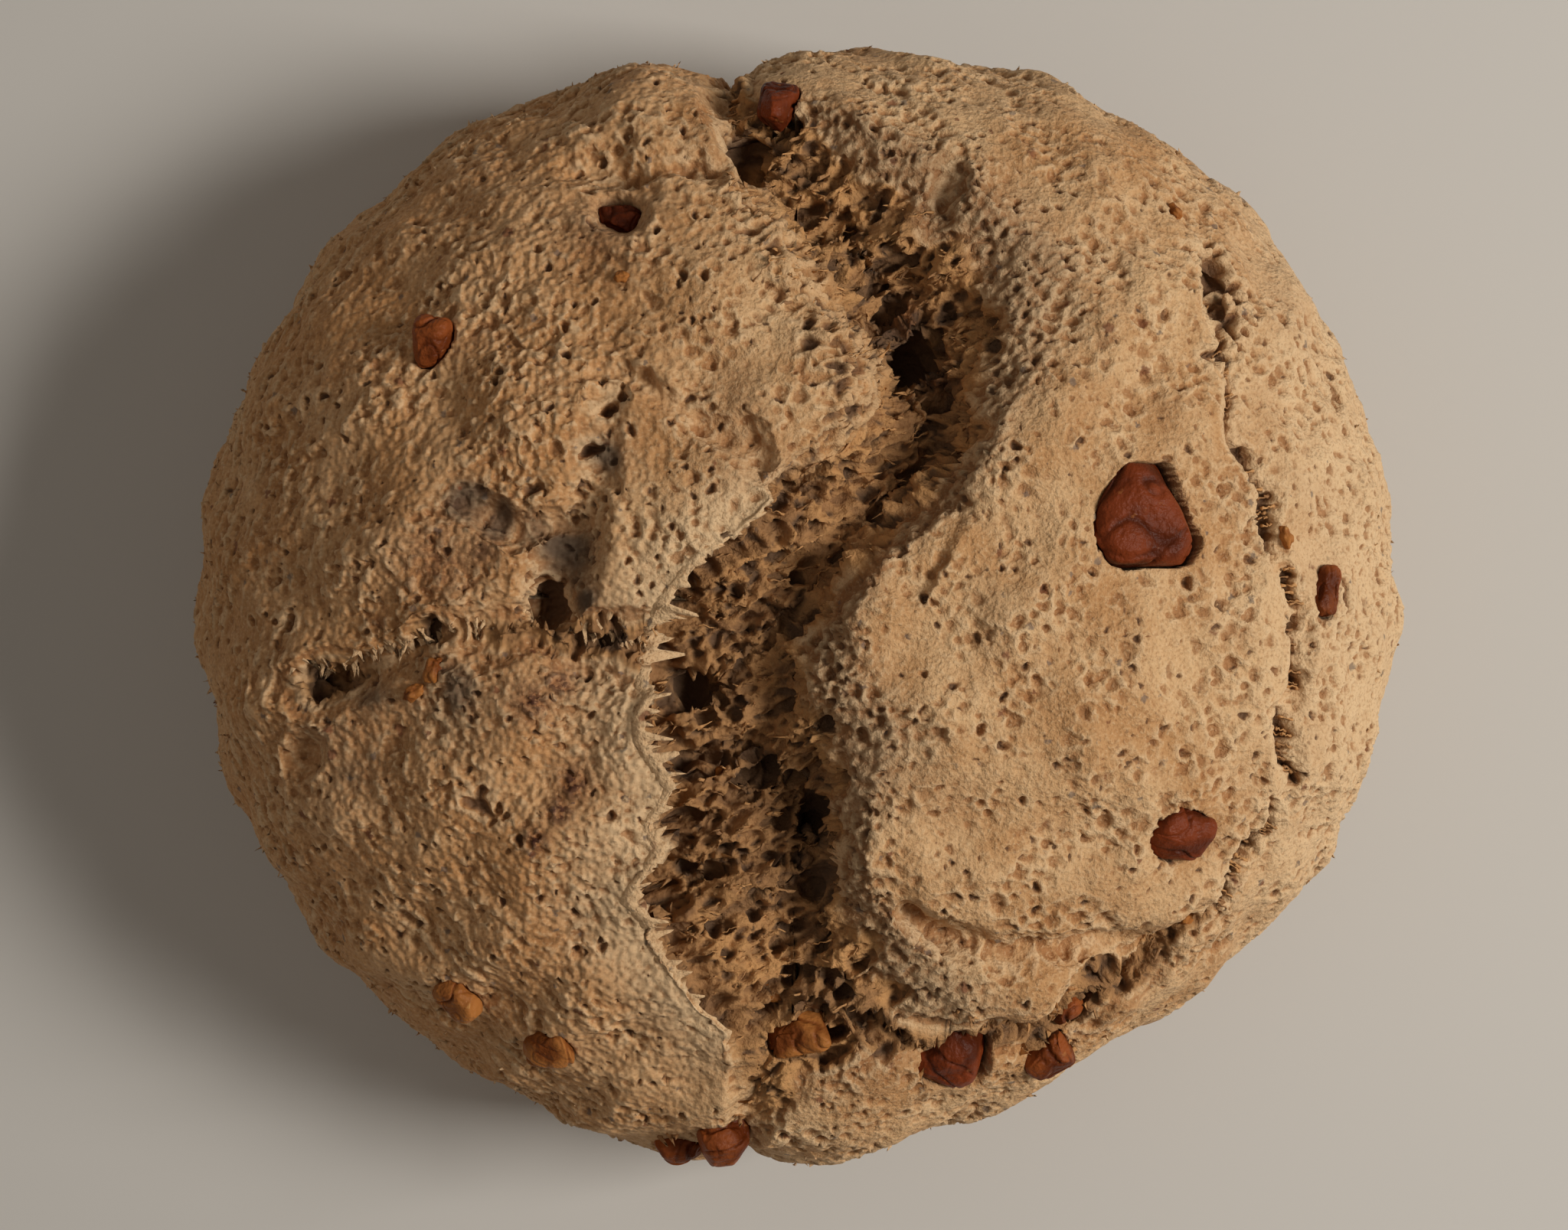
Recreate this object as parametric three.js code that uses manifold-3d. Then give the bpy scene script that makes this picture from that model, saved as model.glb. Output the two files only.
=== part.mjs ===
// Walnut bread: a round hearth loaf that has torn open over its top, with walnut pieces baked into it.
// Millimetres, +Z up. The photograph's right is +X and its top is +Y. The origin is on the face that
// the loaf rests on, under its middle.

import * as THREE from "three";
import { mergeVertices } from "three/addons/utils/BufferGeometryUtils.js";
import Module from "manifold-3d";

const { clamp, degToRad, lerp, smoothstep } = THREE.MathUtils;

// Overall form of the loaf
const LOAF = {
  meanRadius: 96.5,
  crownHeight: 86,
  girthHeight: 30, // height of the widest ring
  domePower: 2.2, // 2 is an ellipse, more is a flatter crown with a fuller shoulder
  footShare: 0.8, // radius of the flat foot, as a share of the girth
};
const DOME_RISE = LOAF.crownHeight - LOAF.girthHeight;

// The loaf isn't quite round: waves on its outline, each with its count, height and direction in degrees
const OUTLINE_WAVES = [
  { count: 1, height: 1.1, at: 103 },
  { count: 2, height: 4.1, at: 19 },
  { count: 3, height: 1.0, at: 69 },
  { count: 4, height: 0.7, at: -94 },
  { count: 5, height: 1.1, at: -93 },
];

// Where the split runs out over the edge, the girth is notched: direction and half angle in degrees
const NOTCHES = [
  { at: 98, depth: 4, spread: 4 },
  { at: -96, depth: 2, spread: 3 },
];
const NOTCH_START = 0.75; // share of the radius where the notches begin

// The main split, as stations from the back of the loaf to its front: the crust's left edge, the
// lowest line of the torn crumb, the crust's right edge and the depth there
const SPLIT = [
  { y: 90, left: -14, floor: -10.5, right: -6, depth: 3 },
  { y: 82, left: -15.5, floor: -10.5, right: -4, depth: 5 },
  { y: 75, left: -15, floor: -8, right: 15, depth: 8.5 },
  { y: 69, left: -12, floor: -5, right: 27, depth: 10 },
  { y: 61, left: -7.5, floor: 9, right: 32, depth: 11.5 },
  { y: 54, left: -1, floor: 15, right: 42, depth: 12.5 },
  { y: 46, left: 1.5, floor: 17, right: 41, depth: 13.5 },
  { y: 39, left: 7.5, floor: 18, right: 39, depth: 14.5 },
  { y: 31, left: 6, floor: 21, right: 34, depth: 14 },
  { y: 22, left: -2, floor: 20.5, right: 29, depth: 13 },
  { y: 15, left: -4, floor: 13, right: 25.5, depth: 12 },
  { y: 6, left: -15.5, floor: 6, right: 14, depth: 11 },
  { y: -3, left: -20.5, floor: -1, right: 8.5, depth: 10.5 },
  { y: -12, left: -22, floor: -11.5, right: 10, depth: 10.5 },
  { y: -20, left: -22.5, floor: -10, right: 17, depth: 10.5 },
  { y: -29, left: -18.5, floor: -2.5, right: 13, depth: 11.5 },
  { y: -38, left: -20, floor: 3.5, right: 10, depth: 12 },
  { y: -46, left: -24, floor: 2.5, right: 12, depth: 10.5 },
  { y: -54, left: -22, floor: 0.5, right: 20, depth: 9 },
  { y: -62, left: -15, floor: -0.5, right: 28, depth: 7.5 },
  { y: -70, left: -10.5, floor: -2.5, right: 22, depth: 6.5 },
  { y: -78, left: -10, floor: -5.5, right: 4, depth: 5 },
  { y: -90, left: -13, floor: -10, right: -6, depth: 2 },
];
// The torn crust edge on the left drops a part of the depth over a short run; the right side rolls in
const LIP = { share: 0.35, run: 0.16 };
const TORN = { from: 0.5, to: 2 }; // depths between which crust gives way to torn crumb

// Grooves along a line of stations, each with its half width and depth: a side tear, creases and cracks
const GROOVES = {
  branch: [
    { x: -21, y: -7.5, half: 8, depth: 9 },
    { x: -31, y: -7, half: 7, depth: 7 },
    { x: -40, y: -4.5, half: 7, depth: 7 },
    { x: -49, y: -6, half: 5.5, depth: 5 },
    { x: -58, y: -7.5, half: 5, depth: 4.5 },
    { x: -65, y: -10, half: 5, depth: 4.5 },
    { x: -74, y: -12.5, half: 6, depth: 6 },
    { x: -82, y: -12.5, half: 4, depth: 2.5 },
  ],
  frontTear: [
    { x: -4.5, y: -64, half: 5, depth: 3 },
    { x: 7.5, y: -68, half: 6.5, depth: 6 },
    { x: 25.5, y: -70.5, half: 7, depth: 7 },
    { x: 40.5, y: -69, half: 6.5, depth: 6 },
    { x: 50, y: -63, half: 5.5, depth: 5 },
    { x: 57.5, y: -58, half: 5, depth: 5 },
    { x: 66, y: -50, half: 4, depth: 3 },
  ],
  rightSeam: [
    { x: 66.5, y: 52, half: 4, depth: 3.5 },
    { x: 66.5, y: 41, half: 5, depth: 3.5 },
    { x: 67, y: 29, half: 3, depth: 1.5 },
    { x: 72, y: 19, half: 3.5, depth: 2.5 },
    { x: 78, y: 3, half: 3.5, depth: 2.5 },
    { x: 80, y: -6.5, half: 4, depth: 3 },
    { x: 78.5, y: -17, half: 4, depth: 3 },
    { x: 79, y: -31, half: 3.5, depth: 2.5 },
    { x: 73, y: -40, half: 3, depth: 2 },
    { x: 66, y: -50, half: 3, depth: 2 },
  ],
  rightFold: [
    { x: 20, y: -49, half: 4.5, depth: 5 },
    { x: 31, y: -54.5, half: 4, depth: 3.5 },
    { x: 42, y: -55.5, half: 3.5, depth: 3 },
    { x: 50, y: -57, half: 3.5, depth: 3 },
    { x: 60, y: -53, half: 3.5, depth: 2.5 },
  ],
  leftCrease: [
    { x: -29, y: 36, half: 3, depth: 2 },
    { x: -22, y: 31, half: 3.5, depth: 3 },
    { x: -15, y: 27.5, half: 3.5, depth: 3 },
    { x: -5.5, y: 21.5, half: 4, depth: 4 },
  ],
  leftFold: [
    { x: -51, y: 16.5, half: 3.5, depth: 2 },
    { x: -45.5, y: 12.5, half: 4, depth: 3.5 },
    { x: -34.5, y: 11, half: 5, depth: 4 },
  ],
  leftHollow: [
    { x: -28, y: 30.5, half: 4, depth: 2 },
    { x: -31, y: 24.5, half: 4, depth: 2 },
    { x: -30, y: 17, half: 4.5, depth: 2.5 },
    { x: -34.5, y: 11, half: 6, depth: 4 },
    { x: -36.5, y: 4.5, half: 6, depth: 5 },
    { x: -38, y: -1, half: 6, depth: 7 },
  ],
  rightStep: [
    { x: 27.5, y: 16, half: 4, depth: 2 },
    { x: 23.5, y: 7.5, half: 4.5, depth: 3 },
    { x: 19, y: -4, half: 5, depth: 3 },
  ],
  backFold: [
    { x: -35, y: 68, half: 4, depth: 2 },
    { x: -27.5, y: 70, half: 4.5, depth: 3 },
    { x: -20, y: 69.5, half: 4.5, depth: 3 },
    { x: -13, y: 68, half: 4, depth: 3 },
  ],
};

// Deep holes in the torn crumb and dents in the crust: half length, half width, turn in degrees, depth
const PITS = [
  { x: 20, y: 41.5, long: 7, wide: 4, turn: 20, depth: 7 },
  { x: 24, y: 66, long: 7, wide: 4, turn: 75, depth: 4 },
  { x: -8.5, y: 72, long: 7, wide: 5, turn: 70, depth: 4 },
  { x: -15, y: -14, long: 7, wide: 5, turn: 30, depth: 4 },
  { x: 3.5, y: -38, long: 8, wide: 4, turn: 80, depth: 5 },
  { x: -75, y: -12.5, long: 4.5, wide: 4, turn: 0, depth: 5 },
  { x: -77.5, y: -24, long: 5, wide: 4, turn: 60, depth: 3 },
  { x: -27.5, y: 60.5, long: 6, wide: 4.5, turn: -20, depth: 4 },
];

// Swellings of the crust: where the dough has risen between the tears
const SWELLINGS = [
  { x: -41, y: 22, radius: 13, height: 3 },
  { x: -15, y: 15, radius: 14, height: 2.5 },
  { x: -57, y: 6, radius: 16, height: 2.5 },
  { x: -81, y: -19, radius: 8, height: 3.5 },
  { x: -42, y: -34, radius: 26, height: 2 },
  { x: 48, y: 31, radius: 20, height: 2.5 },
  { x: 40, y: -15, radius: 26, height: 2.5 },
  { x: 37, y: -59, radius: 8, height: 3 },
  { x: -26, y: 79, radius: 11, height: 3 },
  { x: -20, y: 45, radius: 20, height: 2 },
];

// Slow unevenness of the crust, and the crags of the torn crumb: wavelength, direction in degrees, height
const CRUST_WAVES = [
  { length: 31, at: 20, height: 0.6 },
  { length: 23, at: 85, height: 0.5 },
  { length: 17, at: 140, height: 0.4 },
];
const CRAG_WAVES = [
  { length: 15, at: 70, height: 1.3 },
  { length: 11, at: 125, height: 1.1 },
  { length: 9, at: 15, height: 0.9 },
];

// Walnut pieces: place, size, turn in degrees, and how far the top stands proud of the crust
const NUTS = [
  { name: "walnut_crown", x: 53, y: 13, long: 17, wide: 15, thick: 11, turn: 110, proud: 2.2 },
  { name: "walnut_shoulder", x: 60.5, y: -36, long: 10.5, wide: 8.5, thick: 8, turn: -20, proud: 1.6 },
  { name: "walnut_front", x: 25.5, y: -72.5, long: 11, wide: 10, thick: 9, turn: 60, proud: 2.5 },
  { name: "walnut_front_right", x: 41.5, y: -74, long: 8, wide: 7, thick: 7, turn: 40, proud: 2.5 },
  { name: "walnut_front_chip", x: 43, y: -65, long: 6, wide: 4, thick: 4, turn: 70, proud: 2.2 },
  { name: "walnut_split", x: 0.5, y: -68, long: 10, wide: 6, thick: 6, turn: 12, proud: 3.5 },
  { name: "walnut_notch", x: -11.5, y: -86, long: 8, wide: 7.5, thick: 7.5, turn: 30, proud: 4 },
  { name: "walnut_foot", x: -19, y: -89, long: 7, wide: 4.5, thick: 4, turn: 5, proud: 1.8 },
  { name: "walnut_left_front", x: -39, y: -71, long: 8.5, wide: 6, thick: 5, turn: 15, proud: 1.6 },
  { name: "walnut_left_flake", x: -54, y: -63, long: 7.5, wide: 5.5, thick: 4.5, turn: -50, proud: 2 },
  { name: "walnut_left_back", x: -57, y: 41, long: 7.5, wide: 5.5, thick: 5.5, turn: 75, proud: 1.8 },
  { name: "walnut_back_pocket", x: -27.5, y: 60.5, long: 7, wide: 5, thick: 5, turn: -20, proud: 1.4 },
  { name: "walnut_back_notch", x: -3, y: 79, long: 9, wide: 6, thick: 6, turn: 75, proud: 3 },
  { name: "walnut_right_rim", x: 84.5, y: 1.5, long: 8, wide: 4.8, thick: 4.5, turn: 80, proud: 1 },
];
const NUT_SHAPE = { cuts: 2, squareness: 3.4, lobe: 0.06, lobes: 3, furrow: 0.06, furrows: 5 };
const SOCKET_GAP = 0.35; // clear space between a walnut piece and the dough round it

// The crust is a square sheet of cells wrapped over the loaf
const SHEET = {
  cells: 62,
  girthShare: 0.85, // part of the sheet's half width from the crown to the girth
  crownPace: 0.62, // how evenly the cells lie near the crown, where 1 crowds them at the girth
  gather: 0.3, // how far the columns draw together at the split
  gatherAt: 0.05,
};
const FADE_HEIGHT = 6; // the relief dies out between the girth and this height
const CLOSING_STEPS = 12; // steps in which a walnut piece finds the crust over its place

const COLOURS = { crust: "#c39a6c", nut: "#6f3a22", paleNut: "#a8713e" };
const PALE_NUTS = ["walnut_left_front", "walnut_left_flake", "walnut_front_right", "walnut_split"];

const UP = new THREE.Vector3(0, 0, 1);

// Outline and dome
function radiusAt(angle) {
  let radius = LOAF.meanRadius;
  for (const wave of OUTLINE_WAVES) {
    radius += wave.height * Math.cos(wave.count * angle - degToRad(wave.at));
  }
  return radius;
}

function domeHeight(x, y) {
  const share = Math.min(Math.hypot(x, y) / radiusAt(Math.atan2(y, x)), 1);
  return LOAF.girthHeight + DOME_RISE * (1 - share ** LOAF.domePower) ** (1 / LOAF.domePower);
}

function outward(x, y, z) {
  const reach = Math.hypot(x, y);
  const radius = radiusAt(Math.atan2(y, x));
  const share = Math.min(reach / radius, 1);
  const rise = Math.max((z - LOAF.girthHeight) / DOME_RISE, 0);
  const side = share ** (LOAF.domePower - 1) / radius;
  const up = rise ** (LOAF.domePower - 1) / DOME_RISE;
  const pull = reach > 0 ? side / reach : 0;
  return new THREE.Vector3(x * pull, y * pull, up).normalize();
}

// Point of the plain loaf's profile at a share of the way from the crown to the edge of the foot
function profileAt(share) {
  if (share < SHEET.girthShare) {
    const way = share / SHEET.girthShare;
    const pace = SHEET.crownPace + (1 - SHEET.crownPace) * way * way;
    const turn = (Math.PI / 2) * way * pace;
    const power = 2 / LOAF.domePower;
    return {
      reach: Math.sin(turn) ** power,
      height: LOAF.girthHeight + DOME_RISE * Math.cos(turn) ** power,
    };
  }
  const turn = ((Math.PI / 2) * (share - SHEET.girthShare)) / (1 - SHEET.girthShare);
  return {
    reach: LOAF.footShare + (1 - LOAF.footShare) * Math.cos(turn),
    height: LOAF.girthHeight * (1 - Math.sin(turn)),
  };
}

// Relief: how far the surface lies under the plain dome
function stationAt(stations, y) {
  let i = 1;
  while (i < stations.length - 1 && stations[i].y > y) {
    i += 1;
  }
  const [back, front] = [stations[i - 1], stations[i]];
  const along = clamp((back.y - y) / (back.y - front.y), 0, 1);
  const mixed = {};
  for (const key of Object.keys(back)) {
    mixed[key] = lerp(back[key], front[key], along);
  }
  return mixed;
}

function splitDrop(x, y) {
  const station = stationAt(SPLIT, y);
  if (x > station.floor) {
    return station.depth * smoothstep(station.right - x, 0, station.right - station.floor);
  }
  const across = (x - station.left) / (station.floor - station.left);
  const lip = LIP.share * smoothstep(across, 0, LIP.run);
  return station.depth * (lip + (1 - LIP.share) * smoothstep(across, 0, 1));
}

function notchDrop(notch, x, y) {
  const angle = Math.atan2(y, x);
  const off = (angle - degToRad(notch.at)) / degToRad(notch.spread);
  const share = Math.hypot(x, y) / radiusAt(angle);
  return notch.depth * Math.exp(-off * off) * smoothstep(share, NOTCH_START, 1);
}

function grooveDrop(stations, x, y) {
  let drop = 0;
  for (let i = 1; i < stations.length; i += 1) {
    const [start, end] = [stations[i - 1], stations[i]];
    const run = new THREE.Vector2(end.x - start.x, end.y - start.y);
    const to = new THREE.Vector2(x - start.x, y - start.y);
    const along = clamp(to.dot(run) / run.lengthSq(), 0, 1);
    const gap = to.addScaledVector(run, -along).length();
    const half = lerp(start.half, end.half, along);
    drop = Math.max(drop, lerp(start.depth, end.depth, along) * (1 - smoothstep(gap, 0, half)));
  }
  return drop;
}

function pitDrop(pit, x, y) {
  const to = new THREE.Vector2(x - pit.x, y - pit.y).rotateAround(new THREE.Vector2(), -degToRad(pit.turn));
  return pit.depth * (1 - smoothstep(Math.hypot(to.x / pit.long, to.y / pit.wide), 0, 1));
}

function swellingRise(swelling, x, y) {
  const off = Math.hypot(x - swelling.x, y - swelling.y) / swelling.radius;
  return swelling.height * Math.exp(-off * off);
}

function waveRise(waves, x, y, z) {
  let rise = 0;
  for (const wave of waves) {
    const along = new THREE.Vector2(x, y).rotateAround(new THREE.Vector2(), -degToRad(wave.at));
    const turn = (2 * Math.PI) / wave.length;
    rise += wave.height * Math.sin(turn * along.x + Math.sin(turn * (along.y + z)));
  }
  return rise;
}

function reliefDrop(x, y, z) {
  const split = splitDrop(x, y);
  let drop = split;
  for (const stations of Object.values(GROOVES)) {
    drop = Math.max(drop, grooveDrop(stations, x, y));
  }
  for (const pit of PITS) {
    drop += pitDrop(pit, x, y);
  }
  for (const notch of NOTCHES) {
    drop += notchDrop(notch, x, y);
  }
  const torn = smoothstep(split, TORN.from, TORN.to);
  drop -= lerp(waveRise(CRUST_WAVES, x, y, z), waveRise(CRAG_WAVES, x, y, z), torn);
  for (const swelling of SWELLINGS) {
    drop -= swellingRise(swelling, x, y) * (1 - torn);
  }
  return drop;
}

function crustPoint(x, y, z) {
  const fade = smoothstep(z, FADE_HEIGHT, LOAF.girthHeight);
  return new THREE.Vector3(x, y, z).addScaledVector(outward(x, y, z), -reliefDrop(x, y, z) * fade);
}

// Point of the plain dome whose crust, once it is pushed in, lies over a place: found in a few steps
function domeUnder(x, y) {
  const dome = new THREE.Vector3(x, y, domeHeight(x, y));
  for (let step = 0; step < CLOSING_STEPS; step += 1) {
    const crust = crustPoint(dome.x, dome.y, dome.z);
    dome.x += (x - crust.x) / 2;
    dome.y += (y - crust.y) / 2;
    dome.z = domeHeight(dome.x, dome.y);
  }
  return dome;
}

// Loaf: the sheet of cells, with its edge drawn in to the middle of the flat foot
function sheetPoint(column, row) {
  const across = (2 * column) / SHEET.cells - 1;
  const v = 1 - (2 * row) / SHEET.cells;
  const u = across - (SHEET.gather / Math.PI) * Math.sin(Math.PI * across) + SHEET.gatherAt * (1 - across * across);
  const [discX, discY] = [u * Math.sqrt(1 - (v * v) / 2), v * Math.sqrt(1 - (u * u) / 2)];
  const angle = Math.atan2(discY, discX);
  const { reach, height } = profileAt(Math.min(Math.hypot(discX, discY), 1));
  const radius = reach * radiusAt(angle);
  return crustPoint(radius * Math.cos(angle), radius * Math.sin(angle), height);
}

function edgeLoop() {
  const last = SHEET.cells;
  const loop = [];
  for (let i = 0; i < last; i += 1) {
    loop.push([i, last]);
  }
  for (let i = last; i > 0; i -= 1) {
    loop.push([last, i]);
  }
  for (let i = last; i > 0; i -= 1) {
    loop.push([i, 0]);
  }
  for (let i = 0; i < last; i += 1) {
    loop.push([0, i]);
  }
  return loop;
}

function loafGeometry() {
  const side = SHEET.cells + 1;
  const half = SHEET.cells / 2;
  const points = [];
  const index = [];
  const at = (column, row) => row * side + column;
  for (let row = 0; row < side; row += 1) {
    for (let column = 0; column < side; column += 1) {
      points.push(sheetPoint(column, row));
    }
  }
  for (let row = 0; row < SHEET.cells; row += 1) {
    for (let column = 0; column < SHEET.cells; column += 1) {
      const [a, b] = [at(column, row), at(column, row + 1)];
      const [c, d] = [at(column + 1, row + 1), at(column + 1, row)];
      if (column < half === row < half) {
        index.push(a, b, c, a, c, d);
      } else {
        index.push(a, b, d, b, c, d);
      }
    }
  }
  const middle = points.push(new THREE.Vector3()) - 1;
  const loop = edgeLoop().map(([column, row]) => at(column, row));
  loop.forEach((start, i) => index.push(middle, loop[(i + 1) % loop.length], start));
  return new THREE.BufferGeometry().setFromPoints(points).setIndex(index);
}

// Walnut pieces
function nutGeometry(nut, grow) {
  const chunk = new THREE.IcosahedronGeometry(1, NUT_SHAPE.cuts);
  chunk.deleteAttribute("normal");
  chunk.deleteAttribute("uv");
  const geometry = mergeVertices(chunk);
  const places = geometry.getAttribute("position");
  const point = new THREE.Vector3();
  const size = new THREE.Vector3(nut.long, nut.wide, nut.thick).multiplyScalar(0.5).addScalar(grow);
  const power = NUT_SHAPE.squareness;
  for (let i = 0; i < places.count; i += 1) {
    point.fromBufferAttribute(places, i).normalize();
    const sum = Math.abs(point.x) ** power + Math.abs(point.y) ** power + Math.abs(point.z) ** power;
    const round = Math.atan2(point.y, point.x) + nut.x;
    const lobes = NUT_SHAPE.lobe * Math.sin(NUT_SHAPE.lobes * round + point.z);
    const furrows = NUT_SHAPE.furrow * Math.sin(NUT_SHAPE.furrows * (point.x + point.z) + nut.y);
    point.multiplyScalar(sum ** (-1 / power) * (1 + lobes + furrows)).multiply(size);
    places.setXYZ(i, point.x, point.y, point.z);
  }
  return geometry;
}

function placeNut(mesh, nut) {
  const dome = domeUnder(nut.x, nut.y);
  const out = outward(dome.x, dome.y, dome.z);
  mesh.quaternion.setFromUnitVectors(UP, out);
  mesh.rotateZ(degToRad(nut.turn));
  mesh.position.copy(crustPoint(dome.x, dome.y, dome.z)).addScaledVector(out, nut.proud - nut.thick / 2);
  mesh.updateMatrix();
}

function nutMesh(nut) {
  const colour = PALE_NUTS.includes(nut.name) ? COLOURS.paleNut : COLOURS.nut;
  const material = new THREE.MeshStandardMaterial({ color: colour, roughness: 0.45, metalness: 0 });
  const mesh = new THREE.Mesh(nutGeometry(nut, 0), material);
  mesh.name = nut.name;
  placeNut(mesh, nut);
  return mesh;
}

// Cutting: each walnut piece sits in a socket of its own shape, a little wider all round
function toSolid(wasm, geometry) {
  const vertProperties = new Float32Array(geometry.getAttribute("position").array);
  const triVerts = new Uint32Array(geometry.getIndex().array);
  return new wasm.Manifold(new wasm.Mesh({ numProp: 3, vertProperties, triVerts }));
}

function toGeometry(solid) {
  const { vertProperties, triVerts } = solid.getMesh();
  const geometry = new THREE.BufferGeometry();
  geometry.setAttribute("position", new THREE.BufferAttribute(vertProperties, 3));
  return geometry.setIndex(new THREE.BufferAttribute(triVerts, 1));
}

function socketGeometry(nut) {
  const socket = new THREE.Mesh(nutGeometry(nut, SOCKET_GAP));
  placeNut(socket, nut);
  return socket.geometry.applyMatrix4(socket.matrix);
}

function loafMesh(wasm) {
  let solid = toSolid(wasm, loafGeometry());
  for (const nut of NUTS) {
    solid = solid.subtract(toSolid(wasm, socketGeometry(nut)));
  }
  const material = new THREE.MeshStandardMaterial({ color: COLOURS.crust, roughness: 0.9, metalness: 0 });
  const mesh = new THREE.Mesh(toGeometry(solid), material);
  mesh.name = "loaf";
  return mesh;
}

const wasm = await Module();
wasm.setup();
const bread = new THREE.Group();
bread.add(loafMesh(wasm), ...NUTS.map(nutMesh));

export default bread;
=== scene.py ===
# %% [markdown]
# # A walnut loaf, seen from above
# A round country loaf rose until its crust tore open from back to front.
# The pale crumb shows in the tear, hanging in strands, and walnut pieces sit in the crust.
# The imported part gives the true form. This lesson lays the fine relief and the colours over it,
# in the same frame and in metres.

import math

import bpy
import numpy as np
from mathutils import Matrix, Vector, kdtree, noise
from mathutils.bvhtree import BVHTree


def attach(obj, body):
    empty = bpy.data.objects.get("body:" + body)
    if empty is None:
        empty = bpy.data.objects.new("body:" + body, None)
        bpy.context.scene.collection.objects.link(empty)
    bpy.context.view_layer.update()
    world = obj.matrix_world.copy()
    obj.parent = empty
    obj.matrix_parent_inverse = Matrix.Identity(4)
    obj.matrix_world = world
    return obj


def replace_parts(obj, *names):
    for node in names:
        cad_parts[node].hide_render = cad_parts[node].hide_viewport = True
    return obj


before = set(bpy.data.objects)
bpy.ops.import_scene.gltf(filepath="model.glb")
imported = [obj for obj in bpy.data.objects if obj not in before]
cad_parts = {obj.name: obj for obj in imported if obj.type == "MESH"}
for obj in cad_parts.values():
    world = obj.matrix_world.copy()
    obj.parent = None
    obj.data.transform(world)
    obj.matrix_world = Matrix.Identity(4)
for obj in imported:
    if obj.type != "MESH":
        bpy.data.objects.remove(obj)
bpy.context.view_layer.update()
MM = 0.001

# %% [markdown]
# ## Camera, floor and light
# The loaf is seen straight from above, so the camera hangs over the crown with a long lens.
# One soft lamp stands low on the right and rakes the crust, which is what makes every dent read.
# A wide dim lamp on the left and a warm sky keep the shaded side open.

# %% Camera
EYE = (-0.0018, -0.0021, 0.600)
LENS_LENGTH = 77.95
SENSOR_WIDTH = 36.0

bpy.ops.object.camera_add(location=EYE, rotation=(0, 0, 0))
camera = bpy.context.object
camera.data.lens = LENS_LENGTH
camera.data.sensor_width = SENSOR_WIDTH
bpy.context.scene.camera = camera
print("camera height", camera.location.z)

# %% Floor and lamps
FLOOR_SIZE = 6.0
AIM = Vector((0, 0, 0.05))
LAMPS = {
    "key": {"azimuth": 0, "rise": 42, "away": 1.3, "size": 0.42, "watts": 13.8, "colour": (1.0, 0.94, 0.86)},
    "fill": {"azimuth": 175, "rise": 58, "away": 1.5, "size": 1.6, "watts": 2.6, "colour": (1.0, 0.90, 0.78)},
}
SKY = {"colour": (0.95, 0.84, 0.72), "strength": 0.11}

bpy.ops.mesh.primitive_plane_add(size=FLOOR_SIZE)
floor = bpy.context.object
floor.name = "floor"


def add_lamp(name, azimuth, rise, away, size, watts, colour):
    turn, lift = math.radians(azimuth), math.radians(rise)
    toward = Vector((math.cos(turn) * math.cos(lift), math.sin(turn) * math.cos(lift), math.sin(lift)))
    bpy.ops.object.light_add(type="AREA", location=AIM + toward * away)
    lamp = bpy.context.object
    lamp.name = name
    lamp.rotation_euler = toward.to_track_quat("Z", "Y").to_euler()
    lamp.data.size = size
    lamp.data.energy = watts
    lamp.data.color = colour


for name, facts in LAMPS.items():
    add_lamp(name, **facts)
world = bpy.data.worlds.new("sky")
world.use_nodes = True
world.node_tree.nodes["Background"].inputs["Color"].default_value = (*SKY["colour"], 1)
world.node_tree.nodes["Background"].inputs["Strength"].default_value = SKY["strength"]
bpy.context.scene.world = world
bpy.context.scene.view_settings.view_transform = "Standard"
print("lamps", list(LAMPS))

# %% [markdown]
# ## The dome
# Proofed dough spreads into a low dome on a narrower foot. Its outline is a circle with a few slow waves,
# and its side is a superellipse. A sculpted mesh would do too, but points on arrays can be worked out
# all at once, so the sculpting is done in millimetres, one value per point, before any mesh is made.

# %% Outline and side of the dome
LOAF = {"mean_radius": 96.5, "crown": 86.0, "girth": 30.0, "power": 2.2, "foot_share": 0.8}
DOME_RISE = LOAF["crown"] - LOAF["girth"]
OUTLINE_WAVES = [(1, 1.1, 103), (2, 4.1, 19), (3, 1.0, 69), (4, 0.7, -94), (5, 1.1, -93)]
SHEET = {"columns": 600, "rows": 660, "girth_share": 0.92, "crown_pace": 0.62, "gather": 0.12}


def smooth(value, low, high):
    """0 below low, 1 above high, and an even slope between."""
    way = np.clip((value - low) / (high - low), 0, 1)
    return way * way * (3 - 2 * way)


def blend(first, second, share):
    return first + (second - first) * share


def radius_at(angle):
    waves = sum(height * np.cos(count * angle - math.radians(at)) for count, height, at in OUTLINE_WAVES)
    return LOAF["mean_radius"] + waves


def side_profile(share):
    """Reach (share of the outline radius) and height of the dome's skin, from crown (0) to foot (1)."""
    way = np.clip(share / SHEET["girth_share"], 0, 1)
    turn = math.pi / 2 * way * (SHEET["crown_pace"] + (1 - SHEET["crown_pace"]) * way**2)
    roundness = 2 / LOAF["power"]
    under = np.clip((share - SHEET["girth_share"]) / (1 - SHEET["girth_share"]), 0, 1) * math.pi / 2
    foot = LOAF["foot_share"]
    above = share <= SHEET["girth_share"]
    reach = np.where(above, np.sin(turn) ** roundness, foot + (1 - foot) * np.cos(under))
    dome_height = LOAF["girth"] + DOME_RISE * np.cos(turn) ** roundness
    return reach, np.where(above, dome_height, LOAF["girth"] * (1 - np.sin(under)))


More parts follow.
